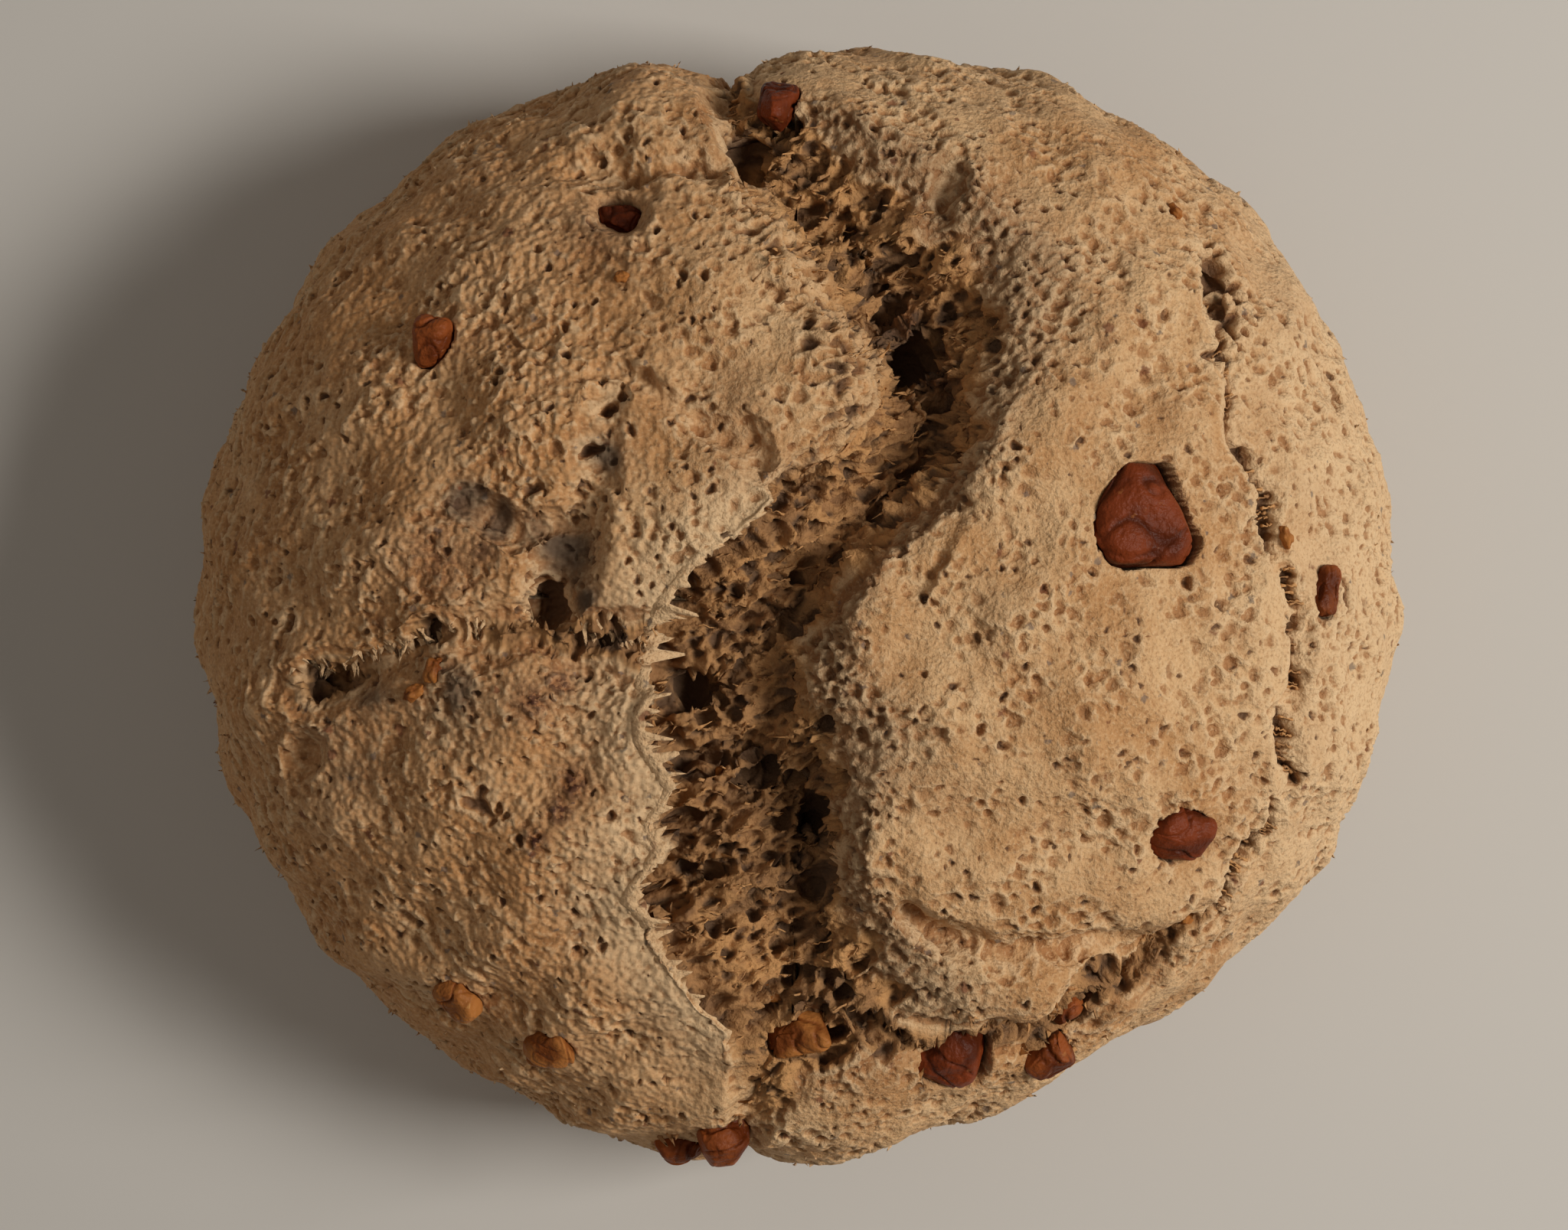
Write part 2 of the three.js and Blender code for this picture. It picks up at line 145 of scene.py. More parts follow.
# %% One sheet of dough wrapped over the dome
GRID = (SHEET["rows"] + 1, SHEET["columns"] + 1)
v, u = (way.ravel() for way in np.meshgrid(*[np.linspace(-1, 1, count) for count in GRID], indexing="ij"))
u = u - SHEET["gather"] / math.pi * np.sin(math.pi * u)
disc_x, disc_y = u * np.sqrt(1 - v**2 / 2), v * np.sqrt(1 - u**2 / 2)
share, angle = np.clip(np.hypot(disc_x, disc_y), 0, 1), np.arctan2(disc_y, disc_x)
reach, height = side_profile(share)
outline = radius_at(angle) * reach
dome = np.stack([outline * np.cos(angle), outline * np.sin(angle), height], axis=1)
x, y, z = dome.T
print("points on the sheet", len(dome))

# %% [markdown]
# ## The tear and the folds
# The crust split along a wandering line. Its left lip stands up sharply over the crumb,
# and its right side rolls in gently. Smaller grooves are folds of dough that closed again.
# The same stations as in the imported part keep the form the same.

# %% Stations of the tear, the grooves and the dents
# A station of the split is y, left lip, floor line, right edge and depth.
SPLIT = np.array([
    (90, -14, -10.5, -6, 3), (82, -15.5, -10.5, -4, 5), (75, -15, -8, 15, 8.5), (69, -12, -5, 27, 10),
    (61, -7.5, 9, 32, 11.5), (54, -1, 15, 42, 12.5), (46, 1.5, 17, 41, 13.5), (39, 7.5, 18, 39, 14.5),
    (31, 6, 21, 34, 14), (22, -2, 20.5, 29, 13), (15, -4, 13, 25.5, 12), (6, -15.5, 6, 14, 11),
    (-3, -20.5, -1, 8.5, 10.5), (-12, -22, -11.5, 10, 10.5), (-20, -22.5, -10, 17, 10.5),
    (-29, -18.5, -2.5, 13, 11.5), (-38, -20, 3.5, 10, 12), (-46, -24, 2.5, 12, 10.5), (-54, -22, 0.5, 20, 9),
    (-62, -15, -0.5, 28, 7.5), (-70, -10.5, -2.5, 22, 6.5), (-78, -10, -5.5, 4, 5), (-90, -13, -10, -6, 2),
])
# A station of a groove is x, y, half width and depth.
GROOVES = {
    "branch": [(-21, -7.5, 8, 7), (-31, -7, 7, 4.5), (-40, -4.5, 6, 4.5), (-49, -6, 5, 3),
               (-58, -7.5, 5, 2.8), (-65, -10, 5, 3), (-74, -12.5, 6, 5.5), (-82, -12.5, 4, 2.5)],
    "front_tear": [(-4.5, -64, 5, 3), (7.5, -68, 6.5, 6), (25.5, -70.5, 7, 7), (40.5, -69, 6.5, 6),
                   (50, -63, 5.5, 5), (57.5, -58, 5, 5), (66, -50, 4, 3)],
    "right_seam": [(66.5, 52, 3, 2), (67, 41, 4, 2), (67.5, 29, 2.5, 0.6), (70.5, 22, 2.5, 1.2),
                   (75.5, 10, 2.6, 1.4), (79.5, -6.5, 3, 1.8), (78, -17, 3, 1.8), (78, -31, 2.6, 1.2),
                   (73, -40, 2.5, 1), (66, -50, 3, 1.5)],
    "right_fold": [(20, -49, 4.5, 5), (31, -54.5, 4, 3.5), (42, -55.5, 3.5, 3), (50, -57, 3.5, 3),
                   (60, -53, 3.5, 2.5)],
    "left_crease": [(-29, 36, 3, 2), (-22, 31, 3.5, 3), (-15, 27.5, 3.5, 3), (-5.5, 21.5, 4, 4)],
    "left_fold": [(-51, 16.5, 3.5, 2), (-45.5, 12.5, 4, 3.5), (-34.5, 11, 5, 4)],
    "left_hollow": [(-28, 30.5, 4, 1.6), (-31, 24.5, 4, 1.4), (-30, 17, 5, 1.8), (-34.5, 11, 7, 3),
                    (-36.5, 4.5, 7, 3.6), (-38, -1, 6, 5)],
    "back_fold": [(-35, 68, 4, 2), (-27.5, 70, 4.5, 3), (-20, 69.5, 4.5, 3), (-13, 68, 4, 3)],
}
# A dent is x, y, half length, half width, turn and depth.
DENTS = [
    (20, 41.5, 7, 4, 20, 7), (24, 66, 7, 4, 75, 4), (-8.5, 72, 7, 5, 70, 4), (-15, -14, 7, 5, 30, 4),
    (3.5, -38, 8, 4, 80, 5), (-75, -12.5, 4.5, 4, 0, 5), (-77.5, -24, 5, 4, 60, 3),
    (-27.5, 60.5, 6, 4.5, -20, 4),
]
# A swelling is x, y, reach and height.
SWELLINGS = [
    (-43, 24, 9, 3.4), (-15, 15, 14, 2.5), (-57, 6, 16, 2.5), (-81, -19, 8, 2.5), (-42, -34, 26, 2),
    (48, 31, 20, 2.5), (40, -15, 26, 2.5), (37, -59, 8, 3), (-26, 79, 11, 3), (-20, 45, 20, 2),
]
# A notch in the outline is angle, depth and spread.
NOTCHES = [(98, 4, 4), (-96, 2, 3)]
NOTCH_START = 0.75
print("stations of the tear", len(SPLIT), "grooves", len(GROOVES))


# %% How deep each station cuts
def noise_at(points, lengths, seed):
    """Smooth noise from about -1 to 1, stretched to the given lengths in mm."""
    return np.array([noise.noise(p) for p in (points / lengths + seed).tolist()])


def at_stations(stations, where):
    """Values read off a list of (place, value) stations."""
    return np.interp(where, *np.array(stations).T)


def along_beside(x, y, degrees):
    """Distances along and to the left of a line through the origin, turned by so many degrees."""
    c, s = math.cos(math.radians(degrees)), math.sin(math.radians(degrees))
    return x * c + y * s, y * c - x * s


def split_lines(y):
    return [np.interp(-y, -SPLIT[:, 0], SPLIT[:, k]) for k in range(1, 5)]


def groove_drop(stations, x, y):
    drop = np.zeros_like(x)
    for (ax, ay, a_half, a_deep), (bx, by, b_half, b_deep) in zip(stations, stations[1:]):
        run = (bx - ax) ** 2 + (by - ay) ** 2
        way = np.clip(((x - ax) * (bx - ax) + (y - ay) * (by - ay)) / run, 0, 1)
        gap = np.hypot(x - blend(ax, bx, way), y - blend(ay, by, way))
        half, deep = blend(a_half, b_half, way), blend(a_deep, b_deep, way)
        drop = np.maximum(drop, deep * (1 - smooth(gap, 0, half)))
    return drop


def dent_drop(x, y):
    drop = np.zeros_like(x)
    for cx, cy, long, wide, turn, deep in DENTS:
        along, beside = along_beside(x - cx, y - cy, turn)
        drop += deep * (1 - smooth(np.hypot(along / long, beside / wide), 0, 1))
    return drop


def swelling_rise(x, y):
    return sum(h * np.exp(-((x - cx) ** 2 + (y - cy) ** 2) / r**2) for cx, cy, r, h in SWELLINGS)


def notch_drop(angle, share):
    drop = np.zeros_like(angle)
    for at, deep, spread in NOTCHES:
        off = (np.degrees(angle) - at + 180) % 360 - 180
        drop += deep * np.exp(-((off / spread) ** 2)) * smooth(share, NOTCH_START, 1)
    return drop


# %% [markdown]
# ## Where the crumb shows
# The lip of the crust is ragged, so its line is shaken by noise before anything is cut.
# A mask says how torn each point is: quickly on the left, under the lip, and in patches on the right.
# One class works out the large relief of the whole sheet and keeps the masks for later steps.

# %% Values of the large relief
LIP = {"run": 2.0, "shake": [(2.4, 5.0), (1.2, 1.8)], "slant": 0.3, "shown": (0.15, 0.45)}
LIP_STATIONS = [(-84, 0.15), (-64, 0.45), (-46, 0.8), (-2, 0.8), (10, 0.55), (24, 0.2), (90, 0.12)]
LIP_BACK = [(20, 0), (28, 3), (37, 8), (46, 6), (58, 6), (66, 4), (74, 0)]
SWAY = {"length": 9.0, "by": (2.0, 3.5)}
SHARES = {"left_crease": 0.75, "left_fold": 1.15, "left_hollow": 1.25}
BRANCH = {"share": 0.8, "full_from": (-30, -22)}
STEP = {"middle": (23.5, 6.5), "turn": 67, "half": 11.0, "even": 0.6, "drop": 1.9, "face": (-0.6, 1.6),
        "run_out": (4.0, 15.0)}
PATCH_LENGTH = 6.0
TORN = {"heights": (24.0, 38.0), "deep": (2, 5), "right": (0.34, 0.54), "groove": (1.6, 3.0)}
DEEPER = [(-78, 0.0), (-62, 1.5), (-48, 3.6), (-24, 3.6), (-8, 3.0), (12, 2.2), (40, 2.0), (62, 0.0)]
CRUST_WAVES = [(31, 20, 0.6), (23, 85, 0.5), (17, 140, 0.4)]
FADE = (6.0, 30.0)


# %% The large relief
def crust_waves(points):
    rise = np.zeros(len(points))
    for length, at, height in CRUST_WAVES:
        turn = 2 * math.pi / length
        along, beside = along_beside(points[:, 0], points[:, 1], at)
        rise += height * np.sin(turn * along + np.sin(turn * (beside + points[:, 2])))
    return rise


class Ground:
    """The dome's points with all that the tear and the folds do to them."""

    def __init__(self, dome, angle, share):
        self.x, self.y, self.z = dome.T
        self.patchy = noise_at(dome, PATCH_LENGTH, 9.1)
        self.sway = [by * noise_at(dome, SWAY["length"], 31.0 + k) for k, by in enumerate(SWAY["by"])]
        split, drops = self.split_drop(), self.groove_drops()
        self.find_torn(drops)
        deeper = at_stations(DEEPER, self.y) * self.torn_split
        deeper *= smooth(self.from_lip, -0.5, blend(9, 1.2, self.lip))
        drop = np.maximum(split + deeper, np.max(list(drops.values()), axis=0))
        drop = drop + self.step_drop() * (1 - self.torn)
        drop = drop + dent_drop(self.x, self.y) + notch_drop(angle, share)
        rise = (crust_waves(dome) + swelling_rise(self.x, self.y)) * (1 - self.torn)
        self.drop = (drop - rise) * smooth(self.z, *FADE)

    def split_drop(self):
        """The split over the top: steep under a sharp lip, and a slow slope elsewhere."""
        x, y = self.x, self.y
        left, self.floor, self.right, self.deep = split_lines(y)
        sharp = at_stations(LIP_STATIONS, y)
        self.lip = smooth(sharp, *LIP["shown"])
        slanted = np.stack([np.zeros_like(y), y - LIP["slant"] * x, np.zeros_like(y)], axis=1)
        for amount, length in LIP["shake"]:
            left = left + amount * noise_at(slanted, length, 5.5)
        self.from_lip, self.from_right = x - left, (self.right - x) / (self.right - self.floor)
        steep, slow = smooth(self.from_lip, 0, LIP["run"]), smooth(self.from_lip / (self.floor - left), 0, 1)
        left_drop = self.deep * (sharp * steep + (1 - sharp) * slow)
        split = np.where(x < self.floor, left_drop, self.deep * smooth(self.from_right, 0, 1))
        return np.where((x > left) & (x < self.right), split, 0)

    def groove_drops(self):
        swayed = self.x + self.sway[0], self.y + self.sway[1]
        drops = {name: groove_drop(stations, *swayed) for name, stations in GROOVES.items()}
        for name, kept in SHARES.items():
            drops[name] = drops[name] * kept
        drops["branch"] = drops["branch"] * blend(BRANCH["share"], 1.0, smooth(self.x, *BRANCH["full_from"]))
        self.folds = smooth(np.maximum(drops["left_hollow"], drops["branch"]), 1.0, 3.0)
        return drops

    def find_torn(self, drops):
        """How torn each point is, from 0 on whole crust to 1 on bare crumb."""
        shaken = self.from_lip + at_stations(LIP_BACK, self.y) + (1 - self.lip) * 4 * self.patchy
        torn_left = smooth(shaken, blend(-0.5, 0.1, self.lip), blend(5, 0.9, self.lip))
        torn_right = smooth(self.from_right + 0.3 * self.patchy, *TORN["right"])
        torn_split = np.where(self.x < self.floor, torn_left, torn_right)
        high = smooth(self.z, *TORN["heights"])
        torn_split = np.where(self.x < self.right, torn_split, 0)
        self.torn_split = torn_split * smooth(self.deep, *TORN["deep"]) * high
        torn_groove = np.maximum(drops["branch"] + 1.6 * self.patchy, drops["front_tear"] + 0.8 * self.patchy)
        self.torn_groove = smooth(torn_groove, *TORN["groove"]) * high
        self.torn = np.maximum(self.torn_split, self.torn_groove)
        self.beside_right = np.where(self.x > self.floor, smooth(self.deep, 4, 8), 0)

    def step_drop(self):
        """A fold whose right side stands higher than its left side."""
        across = [at - middle + sway for at, middle, sway in zip((self.x, self.y), STEP["middle"], self.sway)]
        along, left = along_beside(*across, STEP["turn"])
        profile = smooth(left, *STEP["face"]) * (1 - smooth(left, *STEP["run_out"]))
        ends = smooth(np.abs(along), STEP["even"] * STEP["half"], STEP["half"])
        return STEP["drop"] * profile * (1 - ends)


# %% Wrapping the skin
def skin_normals(points, grid):
    rows = points.reshape(*grid, 3)
    normals = np.cross(np.gradient(rows, axis=1), np.gradient(rows, axis=0)).reshape(-1, 3)
    return normals / np.maximum(np.linalg.norm(normals, axis=1, keepdims=True), 1e-9)


def soften(field, grid, times):
    """A field on a grid of points, averaged with its neighbours again and again."""
    rows = field.reshape(*grid, -1)
    for _ in range(times):
        for axis in (0, 1):
            pad = [(1, 1) if k == axis else (0, 0) for k in range(3)]
            wide = np.pad(rows, pad, mode="edge")
            count = rows.shape[axis]
            before, after = (np.take(wide, range(start, start + count), axis) for start in (0, 2))
            rows = (before + 2 * rows + after) / 4
    return rows.reshape(field.shape)


ground = Ground(dome, angle, share)
torn = ground.torn
skin = dome - skin_normals(dome, GRID) * ground.drop[:, None]
normals = skin_normals(soften(skin, GRID, 4), GRID)
print("torn share of the sheet", round(float(torn.mean()), 3), "spans", np.round(np.ptp(skin, axis=0), 1))

# %% [markdown]
# ## Fine relief of the crust
# The dried skin is pressed full of shallow dimples, and on the left it is broken into lumps that run
# round the rim. Beside the tear the skin has burst into small nubs, and the folds end in thin cracks.
# Bump in a material would look flat from the side, so the relief moves the points themselves.
# Cells round scattered seeds give lumps that never repeat.

# %% Cells and plates round scattered seeds
LOTS = np.array([12.99, 78.23, 37.72])
LOT_SCALE = 43758.5


def turned(points, degrees):
    """Points in a frame whose first axis is turned by so many degrees in plan."""
    return np.stack([*along_beside(points[:, 0], points[:, 1], degrees), points[:, 2]], axis=1)


def lot_of(seeds, weights=LOTS):
    """A number from 0 to 1 for each seed, always the same for the same seed."""
    return np.abs(np.sin(seeds @ weights) * LOT_SCALE) % 1


def cells_at(points, lengths, seed):
    """Distances to the two nearest scattered seeds, in cell lengths, and a lot for the nearest."""
    cells = [noise.voronoi(p) for p in (points / lengths + seed).tolist()]
    gaps = np.array([cell[0][:2] for cell in cells])
    return gaps[:, 0], gaps[:, 1], lot_of(np.array([tuple(cell[1][0]) for cell in cells]))


def plates_at(points, lengths, seed):
    """Heights of small tilted plates, one in each cell round scattered seeds."""
    scaled = points / lengths + seed
    seeds = np.array([tuple(noise.voronoi(p)[1][0]) for p in scaled.tolist()])
    tilts = np.stack([lot_of(np.roll(seeds, k, axis=1)) for k in range(3)], axis=1)
    return lot_of(seeds, LOTS[::-1]) - 0.5 + np.sum((scaled - seeds) * (2 * tilts - 1), axis=1)


# %% Grain and dimples
GRAIN = [(11.0, 0.40), (4.6, 0.30), (2.0, 0.16)]
DIMPLES = [(2.4, 0.95), (1.3, 0.65)]
LEVEL = -0.35
ROUGH_LEVEL = -0.7
ROUGH_RUN = (0, 44)

wander = np.stack([noise_at(dome, 5.0, 40.0 + k) for k in range(3)])
shiver = np.stack([noise_at(dome, 1.3, 50.0 + k) for k in range(2)])
rough = smooth(-x + 12 * noise_at(dome, 22.0, 3.3), *ROUGH_RUN)
crust = LEVEL + ROUGH_LEVEL * rough
for length, tall in GRAIN:
    crust += tall * noise_at(skin, length, 1.7 + length)
top = np.flatnonzero((z > 12) & (torn < 0.99))
dimpled = (1 - 0.4 * rough) * blend(0.2, 1.5, smooth(noise_at(dome, 9.0, 17.5), -0.35, 0.35))
for length, deep in DIMPLES:
    gap, _, lot = cells_at(skin[top], length, 6.0 * length)
    crust[top] -= deep * dimpled[top] * lot**2.2 * (1 - smooth(gap, 0.15, 0.85))
print("rough share", round(float(rough.mean()), 2))

# %% Lumps round the left rim, and nubs beside the tear
RIM_LUMPS = {"lengths": (1.25, 2.3, 1.25), "height": 0.6}
PLATES = {"lengths": (1.7, 3.2, 1.7), "height": 0.5}
RIM_RADIUS = 75
NUBS = {"lengths": (2.6, 1.3, 1.6), "turn": 40, "height": 1.2, "reach": (-0.45, 0.15)}

round_rim = np.stack([np.hypot(x, y), np.arctan2(y, x) % (2 * math.pi) * RIM_RADIUS, z], axis=1)
scaly = rough * blend(0.35, 1.0, smooth(noise_at(dome, 14.0, 12.5), -0.2, 0.3))
coarse = np.flatnonzero((rough > 0.01) & (torn < 0.99) & (z > 3))
gap, _, lot = cells_at(round_rim[coarse] + 0.8 * wander[:, coarse].T, RIM_LUMPS["lengths"], 4.9)
crust[coarse] += scaly[coarse] * RIM_LUMPS["height"] * (0.25 + 0.75 * lot) * (0.5 - gap)
plates = plates_at(round_rim[coarse] + 0.9 * wander[:, coarse].T, PLATES["lengths"], 8.1)
crust[coarse] += scaly[coarse] * PLATES["height"] * plates
nubs = ground.beside_right * smooth(ground.from_right, *NUBS["reach"]) * (1 - torn)
near = np.flatnonzero(nubs > 0.01)
nub_gap, _, _ = cells_at(turned(skin[near], NUBS["turn"]), NUBS["lengths"], 0.0)
crust[near] += nubs[near] * NUBS["height"] * (0.45 - nub_gap)
print("points with lumps", len(coarse), "points with nubs", len(near))

# %% Cracks and the calm ring round the crown walnut
# A crack is half width, depth and how much of it stays shut.
CRACKS = {"right_seam": (1.0, 3.0, -0.15), "right_fold": (1.3, 0.9, -0.1), "back_fold": (0.9, 1.0, 0.0)}
CALM = {"at": (53.0, 13.0), "ring": (8.0, 13.0), "share": 0.6}

shaken_x, shaken_y = dome[:, :2].T + ground.sway + 1.6 * wander[:2] + 0.7 * shiver
open_share = noise_at(dome, 6.0, 60.0)
crack = np.zeros(len(skin))
for name, (half, deep, shut) in CRACKS.items():
    line = [(sx, sy, half, deep) for sx, sy, _, _ in GROOVES[name]]
    shown = smooth(open_share, shut - 0.2, shut + 0.05)
    crack = np.maximum(crack, groove_drop(line, shaken_x, shaken_y) * shown)
from_crown = np.hypot(x - CALM["at"][0], y - CALM["at"][1])
crust *= 1 - CALM["share"] * (1 - smooth(from_crown, *CALM["ring"]))
print("points in cracks", int((crack > 1).sum()))

# %% [markdown]
# ## The torn crumb
# Under the lips lies the torn crumb: a foam of gas cells pulled long across the opening.
# Cell walls come from the distance to the two nearest scattered seeds, so the walls stand up as thin ridges.
# At the back left the crumb lies calmer, with streaks. Under the sharp lip it is cut away.
# Then the lip of the crust leans out over the crumb.

# %% Foam of gas cells
PULL_ACROSS, PULL_UP = 24, 84
FOAM = [((7.0, 3.2, 3.6), 3.6, 0.36), ((3.0, 1.5, 1.8), 1.9, 0.36), ((1.5, 0.85, 1.0), 0.7, 0.36)]
FOAM_LEVEL = 1.7
CRAGS = {"lengths": (13.0, 5.5, 7.0), "height": 4.4}
FIBRES = {"lengths": (5.0, 0.9, 1.2), "height": 0.56}


def foam(points, pull):
    """Height of the torn crumb, and how deep in a cell each point lies."""
    pulled = turned(points, pull)
    bend = np.stack([noise_at(points, 8.0, 70.0 + k) for k in range(3)], axis=1)
    rise = CRAGS["height"] * noise_at(pulled, CRAGS["lengths"], 2.2) + FOAM_LEVEL
    rise += FIBRES["height"] * (0.25 - np.abs(noise_at(pulled + bend, FIBRES["lengths"], 7.7)))
    inside = np.zeros(len(points))
    for seed, (lengths, depth, wall) in enumerate(FOAM):
        near, next_near, lot = cells_at(pulled + 0.55 * bend * lengths, lengths, 20.0 * seed)
        hollow = smooth(next_near - near, 0.04, wall) * (0.1 + 0.9 * lot**1.6)
        rise -= depth * hollow
        inside = np.maximum(inside, hollow * min(1, depth / 2))
    return rise, inside


pull = np.where(ground.torn_groove > ground.torn_split, PULL_UP, PULL_ACROSS)
crumb, inside = np.zeros(len(skin)), np.zeros(len(skin))
for way in (PULL_ACROSS, PULL_UP):
    some = np.flatnonzero((torn > 0.01) & (pull == way))
    crumb[some], inside[some] = foam(skin[some], way)
print("points of crumb", int((torn > 0.5).sum()))

# %% Calm crumb, the undercut and the leaning lip
STREAKS = {"lengths": (6.0, 1.1, 1.6), "height": 0.5}
CALM_RUN = (3, 10)
UNDERCUT = {"deep": 2.8, "run": (0.8, 4.5)}
LEAN = {"out": 0.3, "out_at": -0.5, "out_width": 0.9, "under": 1.2, "under_at": 2.2, "under_width": 1.2}

left_half = x < ground.floor
calm = np.where(left_half, (1 - ground.lip) * (1 - smooth(ground.from_lip, *CALM_RUN)), 0)
streaks = noise_at(turned(skin, PULL_ACROSS) + 0.6 * wander.T, STREAKS["lengths"], 5.1)
crumb = blend(crumb, 0.4 * crumb + 0.2 + STREAKS["height"] * streaks, calm)
near_lip = np.where(left_half, ground.lip * (1 - smooth(ground.from_lip, *UNDERCUT["run"])), 0)
crumb -= UNDERCUT["deep"] * near_lip * ground.torn_split
fine = (blend(crust, crumb, torn) - crack * (1 - torn)) * smooth(z, 0, 8)
skin = skin + normals * fine[:, None]
lean = LEAN["out"] * np.exp(-(((ground.from_lip - LEAN["out_at"]) / LEAN["out_width"]) ** 2))
lean -= LEAN["under"] * np.exp(-(((ground.from_lip - LEAN["under_at"]) / LEAN["under_width"]) ** 2))
lean *= smooth(ground.deep, 4, 9) * smooth(z, 40, 60) * blend(0.25, 1.0, ground.lip)
skin[:, 0] += lean
print("lip leans by", round(float(lean.max()), 2), "mm")

# %% [markdown]
# ## Walnut pieces
# A broken walnut half is lobed and smooth, with a few deep furrows, flat broken faces and a thin papery skin.
# Each packed walnut is copied, merged and subdivided, so it keeps its place and about its size.
# Then furrows are pressed in and broken faces pressed flat.

# %% Helpers for pieces
def choose(obj):
    bpy.ops.object.select_all(action="DESELECT")
    obj.select_set(True)
    bpy.context.view_layer.objects.active = obj


def points_of(obj):
    flat = np.empty(len(obj.data.vertices) * 3)
    obj.data.vertices.foreach_get("co", flat)
    return flat.reshape(-1, 3)


def move_points(obj, points):
    obj.data.vertices.foreach_set("co", points.ravel())
    obj.data.update()


def middle_of(points):
    return (points.min(axis=0) + points.max(axis=0)) / 2


def heading(degrees):
    """A level direction of length 1."""
    return np.array([math.cos(math.radians(degrees)), math.sin(math.radians(degrees)), 0.0])


def apply_modifier(obj, kind, settings):
    tool = obj.modifiers.new(kind.lower(), kind)
    for key, value in settings.items():
        setattr(tool, key, value)
    bpy.ops.object.modifier_apply(modifier=tool.name)


def store(obj, name, values):
    """Keeps one number per point for the materials to read."""
    full = np.zeros(len(obj.data.vertices))
    full[: len(values)] = values
    obj.data.attributes.new(name, "FLOAT", "POINT").data.foreach_set("value", full)


def belongs(obj, slot):
    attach(obj, "root")
    return obj


# %% Furrows and broken faces of a kernel
WALNUT = {"merge": 0.00002, "grow": 1.06, "faces": 6, "face_at": (0.66, 0.94), "pressed": 0.7}
ROUNDER = {"levels": 3}
SOFTER = {"factor": 0.5, "iterations": 3}
CROWN_FACES = [(24, 6.4), (-90, 7.0), (-152, 7.2), (149, 6.2), (90, 8.4)]
FURROWS = [((9.0, 5.0, 5.0), 0.55, 0.10), ((4.5, 2.4, 2.6), 0.18, 0.12)]
LOBES = {"length": 6.0, "height": 1.3}


def random_faces(points, middle, draw):
    reach = np.abs(points - middle).max(axis=0)
    for _ in range(WALNUT["faces"]):
        way = draw.normal(0, 1, 3)
        way[2] = abs(way[2]) * 0.8
        way /= np.linalg.norm(way)
        yield way, draw.uniform(*WALNUT["face_at"]) * np.linalg.norm(way * reach)


def crown_faces():
    for turn, limit in CROWN_FACES:
        yield heading(turn), limit


def break_faces(points, middle, faces):
    """Presses flat faces where the kernel broke."""
    for way, limit in faces:
        over = np.maximum((points - middle) @ way - limit, 0)
        points = points - way * over[:, None] * WALNUT["pressed"]
    return points


def furrow_in(points, normals, turn, seed):
    local = turned(points, math.degrees(turn))
    rise = LOBES["height"] * noise_at(local, LOBES["length"], seed + 5)
    for lengths, height, width in FURROWS:
        rise -= height * (1 - smooth(np.abs(noise_at(local, lengths, seed)), 0, width))
    return points + normals * rise[:, None], rise


# %% Broken walnuts
NUTS = sorted(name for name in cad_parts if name.startswith("walnut"))
PALE_NUTS = ["walnut_left_front", "walnut_left_flake", "walnut_front_right", "walnut_split"]
FACE_SEED = 100


def kernel_copy(name):
    """A packed walnut as a new piece, with its loose triangles merged and rounded."""
    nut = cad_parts[name].copy()
    nut.data = nut.data.copy()
    nut.parent = None
    nut.name = name + "_kernel"
    for key in list(nut.keys()):
        del nut[key]
    bpy.context.scene.collection.objects.link(nut)
    choose(nut)
    bpy.ops.object.mode_set(mode="EDIT")
    bpy.ops.mesh.select_all(action="SELECT")
    bpy.ops.mesh.remove_doubles(threshold=WALNUT["merge"])
    bpy.ops.object.mode_set(mode="OBJECT")
    apply_modifier(nut, "SUBSURF", ROUNDER)
    return nut


nuts = {}
for seed, name in enumerate(NUTS):
    nut = kernel_copy(name)
    body = points_of(nut) / MM
    middle = middle_of(body)
    body = middle + (body - middle) * WALNUT["grow"]
    flat = np.empty(len(body) * 3)
    nut.data.vertices.foreach_get("normal", flat)
    body, rise = furrow_in(body, flat.reshape(-1, 3), seed * 1.3, 11.3 * seed + 1.9)
    draw = np.random.default_rng(FACE_SEED + seed)
    faces = crown_faces() if name == "walnut_crown" else random_faces(body, middle, draw)
    move_points(nut, break_faces(body, middle, faces) * MM)
    apply_modifier(nut, "SMOOTH", SOFTER)
    store(nut, "furrow", rise)
    bpy.ops.object.shade_smooth()
    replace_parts(belongs(nut, "walnut_pale" if name in PALE_NUTS else "walnut_dark"), name)
    nuts[name] = nut
print("kernels", len(nuts), "triangles", sum(2 * len(n.data.polygons) for n in nuts.values()))

# %% [markdown]
# ## Bubbles and pores
# Gas left round craters under the skin and open pores through it, and stretched pores in the crumb.
# Thousands of boolean cuts would be slow, so each pore is placed by a seeded draw, weighted by area,
# and pressed into the points around it. The largest holes have places of their own.

# %% Pressing pores into a sheet
rng = np.random.default_rng(21)
PORE_WALL = (0.45, 1.05)
PORE_RIM = (1.12, 0.2)
PORE_LOBES = [(2, 0.20), (3, 0.16)]
PORE_REACH = 1.5
SMALL_FIRST = 2.2


def area_weights(points, grid):
    rows = points.reshape(*grid, 3)
    return np.linalg.norm(np.cross(np.gradient(rows, axis=1), np.gradient(rows, axis=0)), axis=2).ravel()


